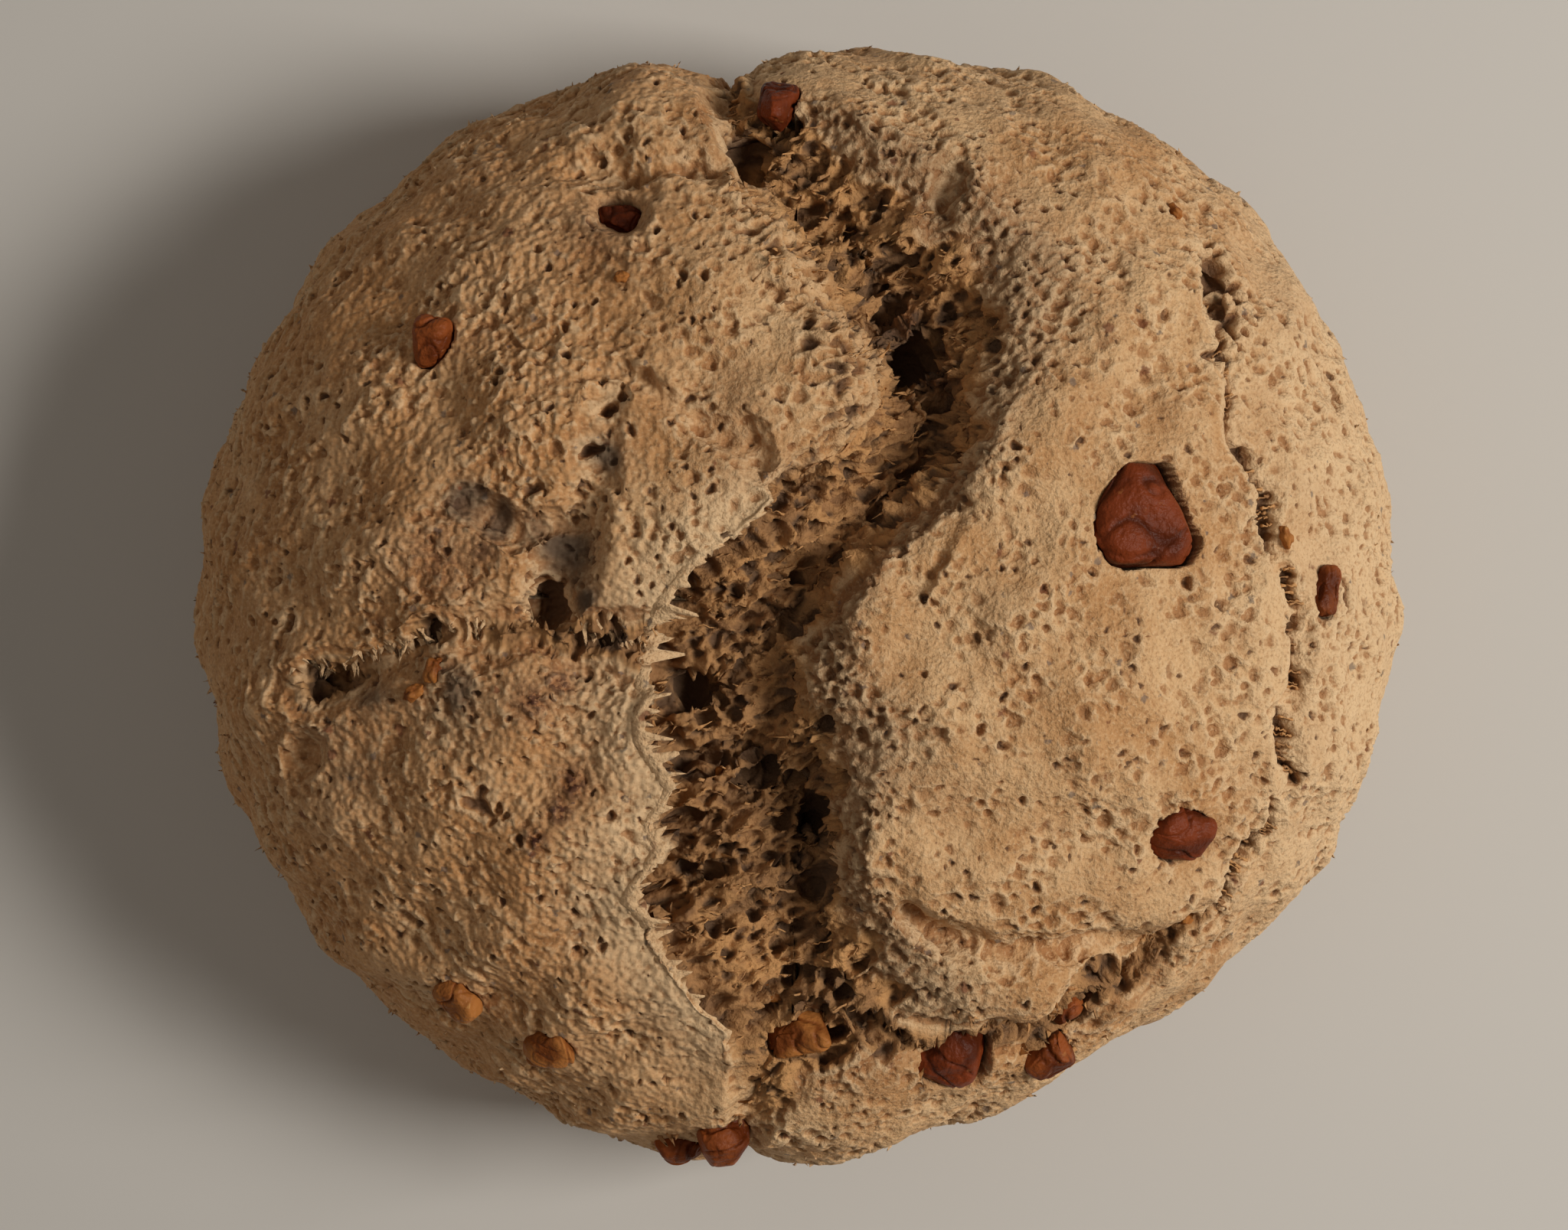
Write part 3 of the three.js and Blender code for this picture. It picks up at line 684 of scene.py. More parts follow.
class Pores:
    """Pores pressed into one sheet of points."""

    def __init__(self, points, normals):
        self.points, self.normals = points, normals
        self.tree = kdtree.KDTree(len(points))
        for index, point in enumerate(points.tolist()):
            self.tree.insert(point, index)
        self.tree.balance()
        self.depth, self.pit = np.zeros(len(points)), np.zeros(len(points))

    def press(self, centre, along, long, wide, depth, rim, colour, wall=PORE_WALL, ragged=0.0):
        found = self.tree.find_range(centre, long * PORE_REACH)
        around = np.array([index for _, index, _ in found], dtype=int)
        if len(around) == 0:
            return
        offset, out = self.points[around] - centre, self.normals[around].mean(axis=0)
        along = along - out * np.dot(along, out)
        along = along / np.linalg.norm(along)
        forward, beside = offset @ along / long, offset @ np.cross(out, along) / wide
        ring, turn = np.hypot(forward, beside), np.arctan2(beside, forward)
        for count, share in PORE_LOBES:
            ring = ring * (1 + share * np.cos(count * turn + rng.uniform(0, 2 * math.pi)))
        if ragged:
            ring = ring * (1 + ragged * noise_at(self.points[around], 1.8, 3.5))
        hollow = 1 - smooth(ring, *wall)
        edge = np.exp(-(((ring - PORE_RIM[0]) / PORE_RIM[1]) ** 2)) * (1 - hollow)
        self.depth[around] = np.maximum(self.depth[around], depth * hollow) - rim * depth * edge
        self.pit[around] = np.maximum(self.pit[around], colour * hollow)

    def scatter(self, chance, count, size, slim, depth, rim, colour, pull=None, flat=False):
        for index in rng.choice(len(self.points), count, p=chance / chance.sum()):
            long = size[0] + (size[1] - size[0]) * rng.random() ** SMALL_FIRST
            wide = long * rng.uniform(*slim)
            along = heading(rng.uniform(0, 360) if pull is None else rng.normal(pull, 14))
            deep = depth * (1.0 if flat else wide)
            self.press(self.points[index], along, long, wide, deep, rim, rng.uniform(*colour))

    def pressed(self):
        return self.points - self.normals * self.depth[:, None]


# %% Pores of crust and crumb
PORES = {
    "craters": {"count": 900, "size": (0.7, 1.9), "slim": (0.6, 1.0), "depth": 0.40, "rim": 0.30,
                "colour": (0.0, 0.3), "flat": True},
    "pinholes": {"count": 2200, "size": (0.45, 1.05), "slim": (0.45, 0.95), "depth": 1.5, "rim": 0.1,
                 "colour": (0.3, 1.0)},
    "lace": {"count": 420, "size": (0.4, 1.1), "slim": (0.4, 0.8), "depth": 1.4, "rim": 0.15,
             "colour": (0.3, 0.8)},
    "crumb": {"count": 1100, "size": (0.6, 2.4), "slim": (0.4, 0.65), "depth": 1.3, "rim": 0.12,
              "colour": (0.4, 0.9), "pull": PULL_ACROSS},
}
# A hole is x, y, half length, half width, turn and depth.
HOLES = [
    (-37.8, -1.1, 3.8, 2.4, 75, 3.2), (-74.7, -12.5, 3.0, 2.4, -20, 2.0), (-28.4, 29.8, 1.5, 1.0, 60, 3.0),
    (-26.5, 31.5, 1.2, 0.9, 30, 2.5), (-31.4, 22.8, 1.6, 1.1, 20, 3.0), (66.4, 52.0, 5.4, 2.3, -72, 3.4),
    (68.6, 45.5, 4.2, 2.1, -68, 3.2), (66.0, 38.8, 2.6, 1.3, 10, 3.0), (88.1, 1.2, 2.4, 1.0, 80, 2.2),
    (-80.0, -3.9, 1.4, 1.1, 40, 2.5), (-40.6, 17.0, 1.6, 1.2, 30, 2.0), (-49.2, -31.2, 2.6, 2.2, -30, 1.6),
    (22.2, 30.8, 2.6, 1.6, 20, 4.0), (17.6, 40.4, 7.5, 3.2, 20, 4.0), (-9.5, 2.0, 2.2, 1.9, 0, 3.0),
    (-5.5, -25.4, 3.6, 3.0, 20, 3.0), (-15.6, -14.5, 5.0, 3.2, 25, 2.0), (3.4, -33.0, 5.0, 2.4, 80, 1.6),
    (3.8, -43.0, 4.5, 2.6, 90, 1.6), (-8.0, 71.0, 4.4, 2.6, 65, 4.0), (-68.5, -13.5, 1.6, 1.3, 60, 3.5),
    (-30.0, -6.5, 2.4, 1.4, 30, 3.0),
]
HOLE = {"rim": 0.08, "colour": 0.75, "wall": (0.15, 1.25), "ragged": 1.1}
TOP_FROM = 30
FAR = 1e3

pores = Pores(skin, skin_normals(soften(skin, GRID, 8), GRID))
area = area_weights(skin, GRID) * (z > 8)
whole = area * (1 - torn)
chances = {
    "craters": whole * (1 - 0.8 * rough),
    "pinholes": whole,
    "lace": area * np.maximum(nubs, 1.5 * ground.folds * (1 - torn)),
    "crumb": area * smooth(torn, 0.6, 1) * (1 + 0.6 * calm),
}
for kind, facts in PORES.items():
    pores.scatter(chances[kind], **facts)
for cx, cy, long, wide, turn, depth in HOLES:
    nearest = int(np.argmin((skin[:, 0] - cx) ** 2 + (skin[:, 1] - cy) ** 2 + FAR * (z < TOP_FROM)))
    pores.press(skin[nearest], heading(turn), long, wide, depth, **HOLE)
skin = pores.pressed()
# painted shade: pores, cracks and cells of the crumb are darkened at their bottoms
pit = np.maximum(pores.pit, smooth(crack, 1.0, 2.6) * (1 - torn))
pit = np.maximum(pit, 0.6 * inside * torn * (1 - 0.6 * calm))
print("pores", sum(facts["count"] for facts in PORES.values()), "deepest", round(float(pores.depth.max()), 1))

# %% [markdown]
# ## Sockets for the walnuts
# Each walnut piece sits in a socket of dough. A ray from below finds the underside of the kernel,
# a little enlarged and shifted to the front right, and the skin is pressed down to it.
# That leaves a dark gap on one side of the piece and lets the dough touch it on the other.

# %% Pressing the sockets
SOCKET = {"swell": 1.02, "shift": (0.2, -0.25, 0.0), "gap": 0.2, "start": 25.0, "hug": 1.6, "around": 6}


def nut_shell(nut):
    shell = points_of(nut) / MM
    middle = middle_of(shell)
    shell = middle + (shell - middle) * SOCKET["swell"] + np.array(SOCKET["shift"])
    solid = BVHTree.FromPolygons(shell.tolist(), [tuple(p.vertices) for p in nut.data.polygons])
    return solid, middle, np.linalg.norm(shell - middle, axis=1).max()


sunk = np.zeros(len(skin))
for nut in nuts.values():
    solid, middle, span = nut_shell(nut)
    around = np.array([i for _, i, _ in pores.tree.find_range(middle, span + SOCKET["around"])], dtype=int)
    out = pores.normals[around].mean(axis=0)
    out = out / np.linalg.norm(out)
    for i in around:
        under = solid.ray_cast(Vector(skin[i] - out * SOCKET["start"]), Vector(out))[0]
        inward = -1 if under is None else float(np.dot(skin[i] - np.array(under), out)) + SOCKET["gap"]
        if inward > 0:
            skin[i] -= out * inward
            sunk[i] = inward
            continue
        near, _, _, gap = solid.find_nearest(Vector(skin[i]))
        if gap < SOCKET["hug"]:
            skin[i] += (np.array(near) - skin[i]) * 0.45 * (1 - gap / SOCKET["hug"])
# painted shade: skin pressed down round a walnut is darkened as a shaded gap
pit = np.maximum(pit, smooth(sunk, 0.3, 1.5))
print("points in sockets", int((sunk > 0).sum()))

# %% [markdown]
# ## Four tiles of crust
# A mesh this fine is too heavy for one piece, so the sheet is cut into four tiles that share their edge
# points. Each tile is closed by a fan down to the middle of the foot. The shading directions along the
# shared edges are averaged, so that no seam shows. Numbers kept on the points tell the material later
# what is torn, where pores, cracks and sockets take painted shade, how hollow each point is for painted shade
# and painted highlight, where painted light falls, what is stained, and where painted shade lies in valleys
# and on nubs.

# %% Masks for the colours
# A patch is x, y, reach and strength.
STAINS = [
    (-40.0, -15.4, 2.9, 1.0), (-35.9, -12.1, 2.4, 1.0), (-34.3, -27.8, 2.8, 1.0), (-35.9, -31.5, 2.4, 1.0),
    (-39.5, -36.0, 2.4, 1.0), (-54.7, 5.9, 7.0, 0.6), (-48.0, 7.5, 3.0, 0.7), (18.9, 48.8, 3.0, 0.8),
    (24.4, 36.9, 2.2, 0.7), (-30.0, 58.0, 7.0, 0.5),
]
# painted shade: dark patches where the valleys on the left lie in shade
PAINTED_SHADE_PATCHES = [
    (-50.0, 15.0, 4.0, 0.9), (-45.5, 12.6, 3.2, 0.9), (-40.5, 11.0, 3.4, 0.9), (-35.8, 8.8, 4.6, 1.0),
    (-34.8, 4.2, 4.6, 1.0), (-33.0, 0.4, 3.4, 0.9), (-52.0, -14.0, 9.0, 0.7), (-72.0, -24.0, 10.0, 0.5),
    (-29.0, 22.0, 4.0, 0.8), (-66.0, -16.0, 5.0, 0.7),
]
# painted light: paler crust on the right rim, the side toward the lamp, and beside the sharp lip
PAINTED_LIGHT = {"right_rim": (60, 92), "beside_lip": (2, 18)}
SHADE = {"share": 0.55, "lip_at": 2.0, "lip_width": 3.0, "deep": (8, 15)}


def patches(places):
    """Soft round patches, the strongest one at each point."""
    spread = [np.exp(-((x - cx) ** 2 + (y - cy) ** 2) / reach**2) for cx, cy, reach, _ in places]
    return np.max([strength * patch for (_, _, _, strength), patch in zip(places, spread)], axis=0)


relief = fine - pores.depth
under_lip = ground.lip * np.exp(-(((ground.from_lip - SHADE["lip_at"]) / SHADE["lip_width"]) ** 2))
depth_shade = np.maximum(smooth(ground.drop, *SHADE["deep"]) * (1 - calm), ground.torn_groove)
# painted light along the lip and on the rim toward the lamp
beside_lip = ground.lip * (ground.from_lip < 1) * (1 - smooth(-ground.from_lip, *PAINTED_LIGHT["beside_lip"]))
right_rim = smooth(x + 8 * wander[0], *PAINTED_LIGHT["right_rim"])
uneven = blend(0.75, 1.15, smooth(wander[1], -0.4, 0.4))
masks = {
    "torn": torn * (1 - 0.6 * calm),
    "pit": np.clip(pit, 0, 1),
    # painted shade in the hollows, where this is above 0, and paler grain on the high points, partly flour
    # and partly painted highlight
    "hollow": soften(relief, GRID, 12) - relief,
    "stain": patches(STAINS),
    "painted_light": np.clip(np.maximum(right_rim, beside_lip), 0, 1),
    # painted shade in the valleys, and on the nubs beside the tear partly their own grey and partly painted
    # shade
    "shade_and_grey": np.maximum(0.5 * nubs, patches(PAINTED_SHADE_PATCHES) * uneven),
    "shade": SHADE["share"] * torn * np.maximum(under_lip, depth_shade),
    "rough": rough,
}
print("masks", {name: round(float(mask.mean()), 3) for name, mask in masks.items()})

# %% Cutting and closing the tiles
TILES = {
    "loaf_front_left": (0, 0),
    "loaf_front_right": (0, 1),
    "loaf_back_left": (1, 0),
    "loaf_back_right": (1, 1),
}
TILE_GRID = (SHEET["rows"] // 2, SHEET["columns"] // 2)


def close_tile(tile, count):
    """Closes a tile's open edge by a fan to the middle of the foot, and makes it all triangles."""
    bpy.ops.object.mode_set(mode="EDIT")
    bpy.ops.mesh.select_all(action="DESELECT")
    bpy.ops.mesh.select_non_manifold()
    bpy.ops.mesh.edge_face_add()
    bpy.ops.mesh.poke()
    bpy.ops.object.mode_set(mode="OBJECT")
    tile.data.vertices[count].co = (0, 0, 0)
    bpy.ops.object.mode_set(mode="EDIT")
    bpy.ops.mesh.select_all(action="SELECT")
    bpy.ops.mesh.quads_convert_to_tris(quad_method="SHORTEST_DIAGONAL", ngon_method="BEAUTY")
    bpy.ops.mesh.normals_make_consistent(inside=False)
    bpy.ops.object.mode_set(mode="OBJECT")


order = np.arange(len(skin)).reshape(GRID)
tiles = {}
for name, (row, column) in TILES.items():
    tall, wide = TILE_GRID
    part = order[row * tall : (row + 1) * tall + 1, column * wide : (column + 1) * wide + 1].ravel()
    bpy.ops.object.select_all(action="DESELECT")
    bpy.ops.mesh.primitive_grid_add(x_subdivisions=wide, y_subdivisions=tall, size=2)
    tile = bpy.context.object
    tile.name = name
    move_points(tile, skin[part] * MM)
    close_tile(tile, len(part))
    bpy.ops.object.shade_smooth()
    for key, mask in masks.items():
        store(tile, key, mask[part])
    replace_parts(belongs(tile, "crust"), "loaf")
    tiles[name] = (tile, part)
print("triangles", {name: len(tile.data.polygons) for name, (tile, _) in tiles.items()})

# %% Shading across the shared edges
facing = np.zeros_like(skin)
for tile, part in tiles.values():
    flat = np.empty((len(part) + 1) * 3, dtype=np.float32)
    tile.data.vertices.foreach_get("normal", flat)
    facing[part] += flat.reshape(-1, 3)[: len(part)]
facing /= np.linalg.norm(facing, axis=1, keepdims=True)
for tile, part in tiles.values():
    tile.data.normals_split_custom_set_from_vertices(np.vstack([facing[part], [(0, 0, -1)]]).tolist())
print("shared edges", sum(len(part) for _, part in tiles.values()) - len(skin), "points")

# %% [markdown]
# ## Flaps of crumb
# Where the dough tore, thin flaps stand off the surface with ragged ends and strands still bridge the tear.
# A sheet can't overhang itself, so these are separate thin bodies rooted in it, and each kind is one mesh.
# A flap is a small curved sheet that narrows to a ragged end. A strand is a tapered tube.
# Both have only a few dozen faces, because there are hundreds of them.

# %% A flap, a sheet and a strand
FLAP = {"columns": 4, "rows": 4, "ends": (0.4, 1.0), "sway": 0.25, "rooted": 0.5}
STRAND_SIDES = 5
STRAND_ACROSS = np.array([0.3, 0.2, 0.93])
UP = np.array([0.0, 0.0, 1.0])


class Bodies:
    """Collects many small closed bodies into one mesh."""

    def __init__(self):
        self.points, self.faces, self.tints = [], [], []

    def add(self, points, faces, tint):
        base = len(self.points)
        self.points.extend(points)
        self.faces.extend([tuple(base + k for k in face) for face in faces])
        self.tints.extend([tint] * len(points))

    def flap(self, root, forward, up, length, width, lift, thick=0.2, narrow=0.95):
        side = np.cross(up, forward)
        ends = length * rng.uniform(*FLAP["ends"], FLAP["columns"])
        edge = np.linspace(-0.5, 0.5, FLAP["columns"])
        sway = rng.normal(0, FLAP["sway"]) * length
        top, bottom = [], []
        for row in range(FLAP["rows"]):
            way = row / (FLAP["rows"] - 1)
            for column in range(FLAP["columns"]):
                spread = edge[column] * width * (1 - narrow * way) + rng.normal(0, 0.05 * width)
                spread += sway * way**2
                rise = lift * way**1.6 - FLAP["rooted"] * (1 - way) - 0.25 * lift * (2 * edge[column]) ** 2
                middle = root + forward * ends[column] * way + side * spread + up * rise
                half = 0.5 * thick * (1 - 0.8 * way)
                top.append(middle + up * half)
                bottom.append(middle - up * half)
        self.sheet(top, bottom, FLAP["rows"], FLAP["columns"], rng.random())

    def sheet(self, top, bottom, rows, columns, tint):
        """A thin closed sheet from two grids of points."""
        count, faces = len(top), []
        for row in range(rows - 1):
            for column in range(columns - 1):
                a = row * columns + column
                b, c, d = a + 1, a + 1 + columns, a + columns
                faces += [(a, d, c, b), (a + count, b + count, c + count, d + count)]
        last = (rows - 1) * columns
        rim = list(range(columns)) + [r * columns + columns - 1 for r in range(1, rows)]
        rim += list(range(last + columns - 2, last - 1, -1)) + [r * columns for r in range(rows - 2, 0, -1)]
        faces += [(a, b, b + count, a + count) for a, b in zip(rim, rim[1:] + rim[:1])]
        self.add(top + bottom, faces, tint)

    def strand(self, path, radii):
        """A tube along a path, with a radius for each of its points."""
        runs = np.gradient(path, axis=0)
        runs /= np.linalg.norm(runs, axis=1, keepdims=True)
        side = np.cross(runs, STRAND_ACROSS)
        side /= np.maximum(np.linalg.norm(side, axis=1, keepdims=True), 1e-6)
        rise = np.cross(side, runs)
        turns = np.arange(STRAND_SIDES) * 2 * math.pi / STRAND_SIDES
        points = [p + r * (math.cos(t) * s + math.sin(t) * w)
                  for p, r, s, w in zip(path, radii, side, rise) for t in turns]
        faces = []
        for ring in range(len(path) - 1):
            for k in range(STRAND_SIDES):
                a, b = ring * STRAND_SIDES + k, ring * STRAND_SIDES + (k + 1) % STRAND_SIDES
                faces.append((a, b, b + STRAND_SIDES, a + STRAND_SIDES))
        end = (len(path) - 1) * STRAND_SIDES
        faces += [tuple(range(STRAND_SIDES))[::-1], tuple(range(end, end + STRAND_SIDES))]
        self.add(points, faces, rng.random())

    def build(self, name):
        mesh = bpy.data.meshes.new(name)
        mesh.from_pydata([tuple(p * MM) for p in self.points], [], self.faces)
        obj = bpy.data.objects.new(name, mesh)
        bpy.context.scene.collection.objects.link(obj)
        choose(obj)
        bpy.ops.object.mode_set(mode="EDIT")
        bpy.ops.mesh.select_all(action="SELECT")
        bpy.ops.mesh.normals_make_consistent(inside=False)
        bpy.ops.mesh.quads_convert_to_tris()
        bpy.ops.object.mode_set(mode="OBJECT")
        bpy.ops.object.shade_smooth()
        store(obj, "tint", np.array(self.tints))
        print(name, len(mesh.polygons), "triangles")
        return belongs(obj, "crust")


# %% Finding the surface from above
ABOVE = 120


def surface_tree(points, grid, skip):
    rows = points.reshape(*grid, 3)[::skip, ::skip]
    tall, wide = rows.shape[:2]
    corner = np.arange(tall * wide).reshape(tall, wide)[:-1, :-1].ravel()
    faces = np.stack([corner, corner + 1, corner + wide + 1, corner + wide], axis=1)
    return BVHTree.FromPolygons(rows.reshape(-1, 3).tolist(), faces.tolist())


crust_tree = surface_tree(skin, GRID, 2)


def surface_below(px, py):
    """The place where a plumb line meets the crust, or None beside the loaf."""
    return crust_tree.ray_cast(Vector((px, py, ABOVE)), Vector((0, 0, -1)))[0]


print("crown at", round(surface_below(0, 0)[2], 1), "mm")

# %% Flaps over the torn crumb
FLAPS = {"count": 400, "length": (0.9, 3.8), "width": (0.4, 1.3), "lift": (0.1, 1.0), "turned_back": 0.3}
PULL_SPREAD = 16
flaps = Bodies()


def pull_from(degrees):
    return heading(rng.normal(degrees, PULL_SPREAD))


def flat_to(direction, up):
    direction = direction - up * np.dot(direction, up)
    return direction / np.linalg.norm(direction)


chance = area * smooth(torn, 0.6, 1) * (inside < 0.25) * (pores.pit < 0.2) * (1 + smooth(y, 18, 36))
chance /= chance.sum()
for index in rng.choice(len(skin), FLAPS["count"], p=chance):
    up, forward = pores.normals[index], pull_from(pull[index])
    if x[index] > ground.floor[index] or rng.random() < FLAPS["turned_back"]:
        forward = -forward
    size = rng.random() ** 1.7
    flaps.flap(skin[index], flat_to(forward, up), up, blend(*FLAPS["length"], size),
               blend(*FLAPS["width"], size * rng.uniform(0.3, 1)), rng.uniform(*FLAPS["lift"]))
print("flaps", FLAPS["count"])

# %% [markdown]
# ## The torn lip
# The sharp lip of the split ends in teeth of thin crust that reach out over the crumb.
# Teeth cut from the sheet itself would be jagged, because its points stand about half a millimetre apart.
# So the lip gets a closed strip of its own. It starts under the crust behind the lip, comes out level
# with its brink, and its outer edge is drawn from noise.

# %% A strip with ragged teeth
EDGE = {"from": -76, "to": 24, "step": 0.22, "back": -2.6, "at": -0.8, "long": (1.0, 4.9), "droop": 0.7,
        "half": (0.3, 0.26, 0.2, 0.12, 0.03), "sunk": (1.8, 0.2), "root": 0.4, "tint": 0.7}
TOOTH_TURN = (12, 40)
TOOTH_FALL = (-0.35, 0.1)
LIP_FROM = 40
teeth = Bodies()


def along_lip(stations, from_lip):
    """Mean places of the skin at one distance from the lip."""
    some = np.flatnonzero((np.abs(ground.from_lip - from_lip) < 0.35) & (z > LIP_FROM))
    weights = np.exp(-(((y[some][None, :] - stations[:, None]) / 0.6) ** 2)) + 1e-12
    return weights @ skin[some] / weights.sum(axis=1, keepdims=True)


def brink_heights(stations):
    """Height of the highest crust close to the lip, smoothed along it."""
    some = np.flatnonzero((np.abs(ground.from_lip + 0.8) < 0.8) & (z > LIP_FROM))
    near = [np.abs(skin[some, 1] - station) < 0.5 for station in stations]
    tops = [np.max(skin[some, 2], where=close, initial=0) for close in near]
    return np.convolve(np.pad(tops, 2, mode="edge"), np.ones(5) / 5, mode="valid")


stations = np.arange(EDGE["from"], EDGE["to"], EDGE["step"])
places = np.stack([stations * 0 + 0.5, stations, stations * 0 + 0.5], axis=1)
peaks = np.clip(1.7 * noise_at(places, 1.2, 7.5) + 0.6 * noise_at(places, 0.5, 3.5) + 0.1, 0, 1) ** 1.3
sharp = smooth(at_stations(LIP_STATIONS, stations), 0.3, 0.7)
bold = sharp * blend(0.5, 1.3, smooth(noise_at(places, 5.0, 2.5), -0.4, 0.4))
reach_out = blend(*EDGE["long"], peaks * bold)
sink = np.outer(blend(*EDGE["sunk"], sharp), UP)
back, edge = along_lip(stations, EDGE["back"]), along_lip(stations, EDGE["at"])
turns = np.radians(TOOTH_TURN[0] + TOOTH_TURN[1] * noise_at(places, 3.0, 9.5))
fall = np.clip((edge - back)[:, 2] / np.maximum(np.hypot(*(edge - back)[:, :2].T), 0.3), *TOOTH_FALL)
toward = np.stack([np.cos(turns), np.sin(turns), fall], axis=1) * reach_out[:, None]
edge[:, 2] = np.maximum(edge[:, 2], brink_heights(stations))
rows = [back - sink - UP * EDGE["root"], edge - sink]
for way in (1 / 3, 2 / 3, 1):
    droop = np.outer(reach_out, UP * EDGE["droop"] * way**2 / EDGE["long"][1])
    rows.append(edge + toward * way - sink - droop)
lifted = [[row + UP * side * half for row, half in zip(rows, EDGE["half"])] for side in (1, -1)]
teeth.sheet(*[list(np.vstack(grid)) for grid in lifted], len(rows), len(stations), EDGE["tint"])
print("longest tooth of the lip", round(float(reach_out.max()), 1), "mm")

# %% [markdown]
# ## Curtain, collars and rim
# The side tear on the left hangs in a curtain of fibres, dough climbs a little up some of the walnuts,
# and the rough skin of the rim stands off in small points. All three are single flaps set on the crust.

# %% Single teeth of crust
FRINGE = {"width": (0.5, 1.8), "thick": 0.26, "narrow": 0.9, "lift": (-0.2, 0.5), "sunk": 0.1}
CURTAIN = {"step": 0.55, "length": (1.6, 5.5), "above": (1.5, 4.5), "aim": (0.15, 0.35), "droop": 0.25}
SPIKES = {"count": 420, "length": (0.4, 1.5), "width": (0.3, 1.0), "heights": (14, 52), "lift": 0.1}
COLLARED = ["front", "front_right", "front_chip", "split", "notch", "foot", "back_notch"]
COLLAR = {"count": 15, "outside": 0.7, "climb": 0.7, "length": (1.2, 3.2), "kept": 0.9}


def fringe(bodies, px, py, toward, kept, droop, lengths):
    """One ragged tooth of crust at a place in plan, pointing along toward."""
    hit = surface_below(px, py)
    if hit is None or rng.random() > kept:
        return
    forward = np.array([*toward, 0.0]) / np.hypot(*toward)
    forward[2] = -droop * rng.uniform(0.2, 1.2)
    forward /= np.linalg.norm(forward)
    up = flat_to(UP, forward)
    length = blend(*lengths, rng.random() ** 1.8)
    width = blend(*FRINGE["width"], rng.random())
    root = np.array(hit) - FRINGE["sunk"] * up
    lift = rng.uniform(*FRINGE["lift"])
    bodies.flap(root, forward, up, length, width, lift, FRINGE["thick"], FRINGE["narrow"])


for (ax, ay, _, _), (bx, by, _, _) in zip(GROOVES["branch"], GROOVES["branch"][1:]):
    for way in np.arange(0, 1, CURTAIN["step"] / max(abs(bx - ax), 1)):
        px = blend(ax, bx, way) + rng.normal(0, 0.6)
        py = blend(ay, by, way) + rng.uniform(*CURTAIN["above"])
        kept = 0.9 if noise.noise((px / 5, 3.3, 0.5)) > -0.1 else 0.1
        fringe(teeth, px, py, (rng.normal(*CURTAIN["aim"]), -1), kept, CURTAIN["droop"], CURTAIN["length"])
for name in COLLARED:
    outline = points_of(nuts["walnut_" + name])[:, :2] / MM
    middle = middle_of(outline)
    for turn in rng.uniform(0, 2 * math.pi, COLLAR["count"]):
        way = np.array([math.cos(turn), math.sin(turn)])
        root = middle + way * (((outline - middle) @ way).max() + COLLAR["outside"] * rng.uniform(0.5, 1.5))
        fringe(flaps, *root, -way, COLLAR["kept"], -COLLAR["climb"], COLLAR["length"])
rim_chance = area * (z > SPIKES["heights"][0]) * (z < SPIKES["heights"][1]) * (0.4 + rough)
for index in rng.choice(len(skin), SPIKES["count"], p=rim_chance / rim_chance.sum()):
    forward = pores.normals[index] + 0.5 * rng.normal(0, 1, 3)
    forward /= np.linalg.norm(forward)
    size = rng.uniform(*SPIKES["length"]), rng.uniform(*SPIKES["width"])
    up = flat_to(UP, forward)
    teeth.flap(skin[index], forward, up, *size, SPIKES["lift"], FRINGE["thick"], FRINGE["narrow"])
flap_piece, fringe_piece = flaps.build("crumb_flaps"), teeth.build("crust_fringe")

# %% [markdown]
# ## Strands
# Gluten pulls out into threads that hang across the tear, and into short stitches over the seam on the right.
# A thread is a tube with a slack bow in it. Its ends are thicker and sit under the surface.

# %% Strands across the tears
STRANDS = {"count": 240, "span": (1.6, 5.0), "radius": (0.04, 0.11), "points": 8, "lift": (-0.2, 1.0)}
STITCHES = {"count": 90, "span": (1.6, 3.0), "radius": (0.07, 0.13), "tilt": -0.4, "above": 1.8, "lift": 0.1}
SEAM = {"crack": 1.2, "right_of": 60, "above": 45}
STRAND_FORM = {"steepest": 0.8, "wobble": 0.16, "rooted": 0.3, "flare": 2.6}
strands = Bodies()


def strand_between(start, toward, span, radius, lift):
    far = start + toward * span
    hit = surface_below(far[0], far[1])
    if hit is None or abs(hit[2] - start[2]) > STRAND_FORM["steepest"] * span:
        return
    way = np.linspace(0, 1, STRANDS["points"])[:, None]
    bow = np.sin(way * math.pi)
    path = start * (1 - way) + np.array(hit) * way
    path = path + UP * lift * bow + rng.normal(0, STRAND_FORM["wobble"], path.shape) * bow
    path[[0, -1], 2] -= STRAND_FORM["rooted"]
    strands.strand(path, radius * (1 + STRAND_FORM["flare"] * np.abs(2 * way[:, 0] - 1) ** 2))


for index in rng.choice(len(skin), STRANDS["count"], p=chance):
    strand_between(skin[index], pull_from(pull[index]) * rng.choice([-1, 1]),
                   rng.uniform(*STRANDS["span"]) * rng.uniform(0.5, 1),
                   rng.uniform(*STRANDS["radius"]), rng.uniform(*STRANDS["lift"]))
seam = np.flatnonzero((crack > SEAM["crack"]) & (x > SEAM["right_of"]) & (z > SEAM["above"]))
for index in rng.choice(seam, STITCHES["count"]):
    span = rng.uniform(*STITCHES["span"])
    toward = np.array([math.cos(angle[index]), math.sin(angle[index]), STITCHES["tilt"]])
    start = skin[index] - toward * span / 2 + normals[index] * STITCHES["above"]
    toward /= np.linalg.norm(toward)
    strand_between(start, toward, span, rng.uniform(*STITCHES["radius"]), STITCHES["lift"])
strand_piece = strands.build("crumb_strands")

# %% [markdown]
# ## Walnut crumbs
# Small crumbs of walnut lie in the crust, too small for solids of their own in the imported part.
# Each is a ball, stretched, made lumpy by noise and set into the surface. They are joined into one piece.

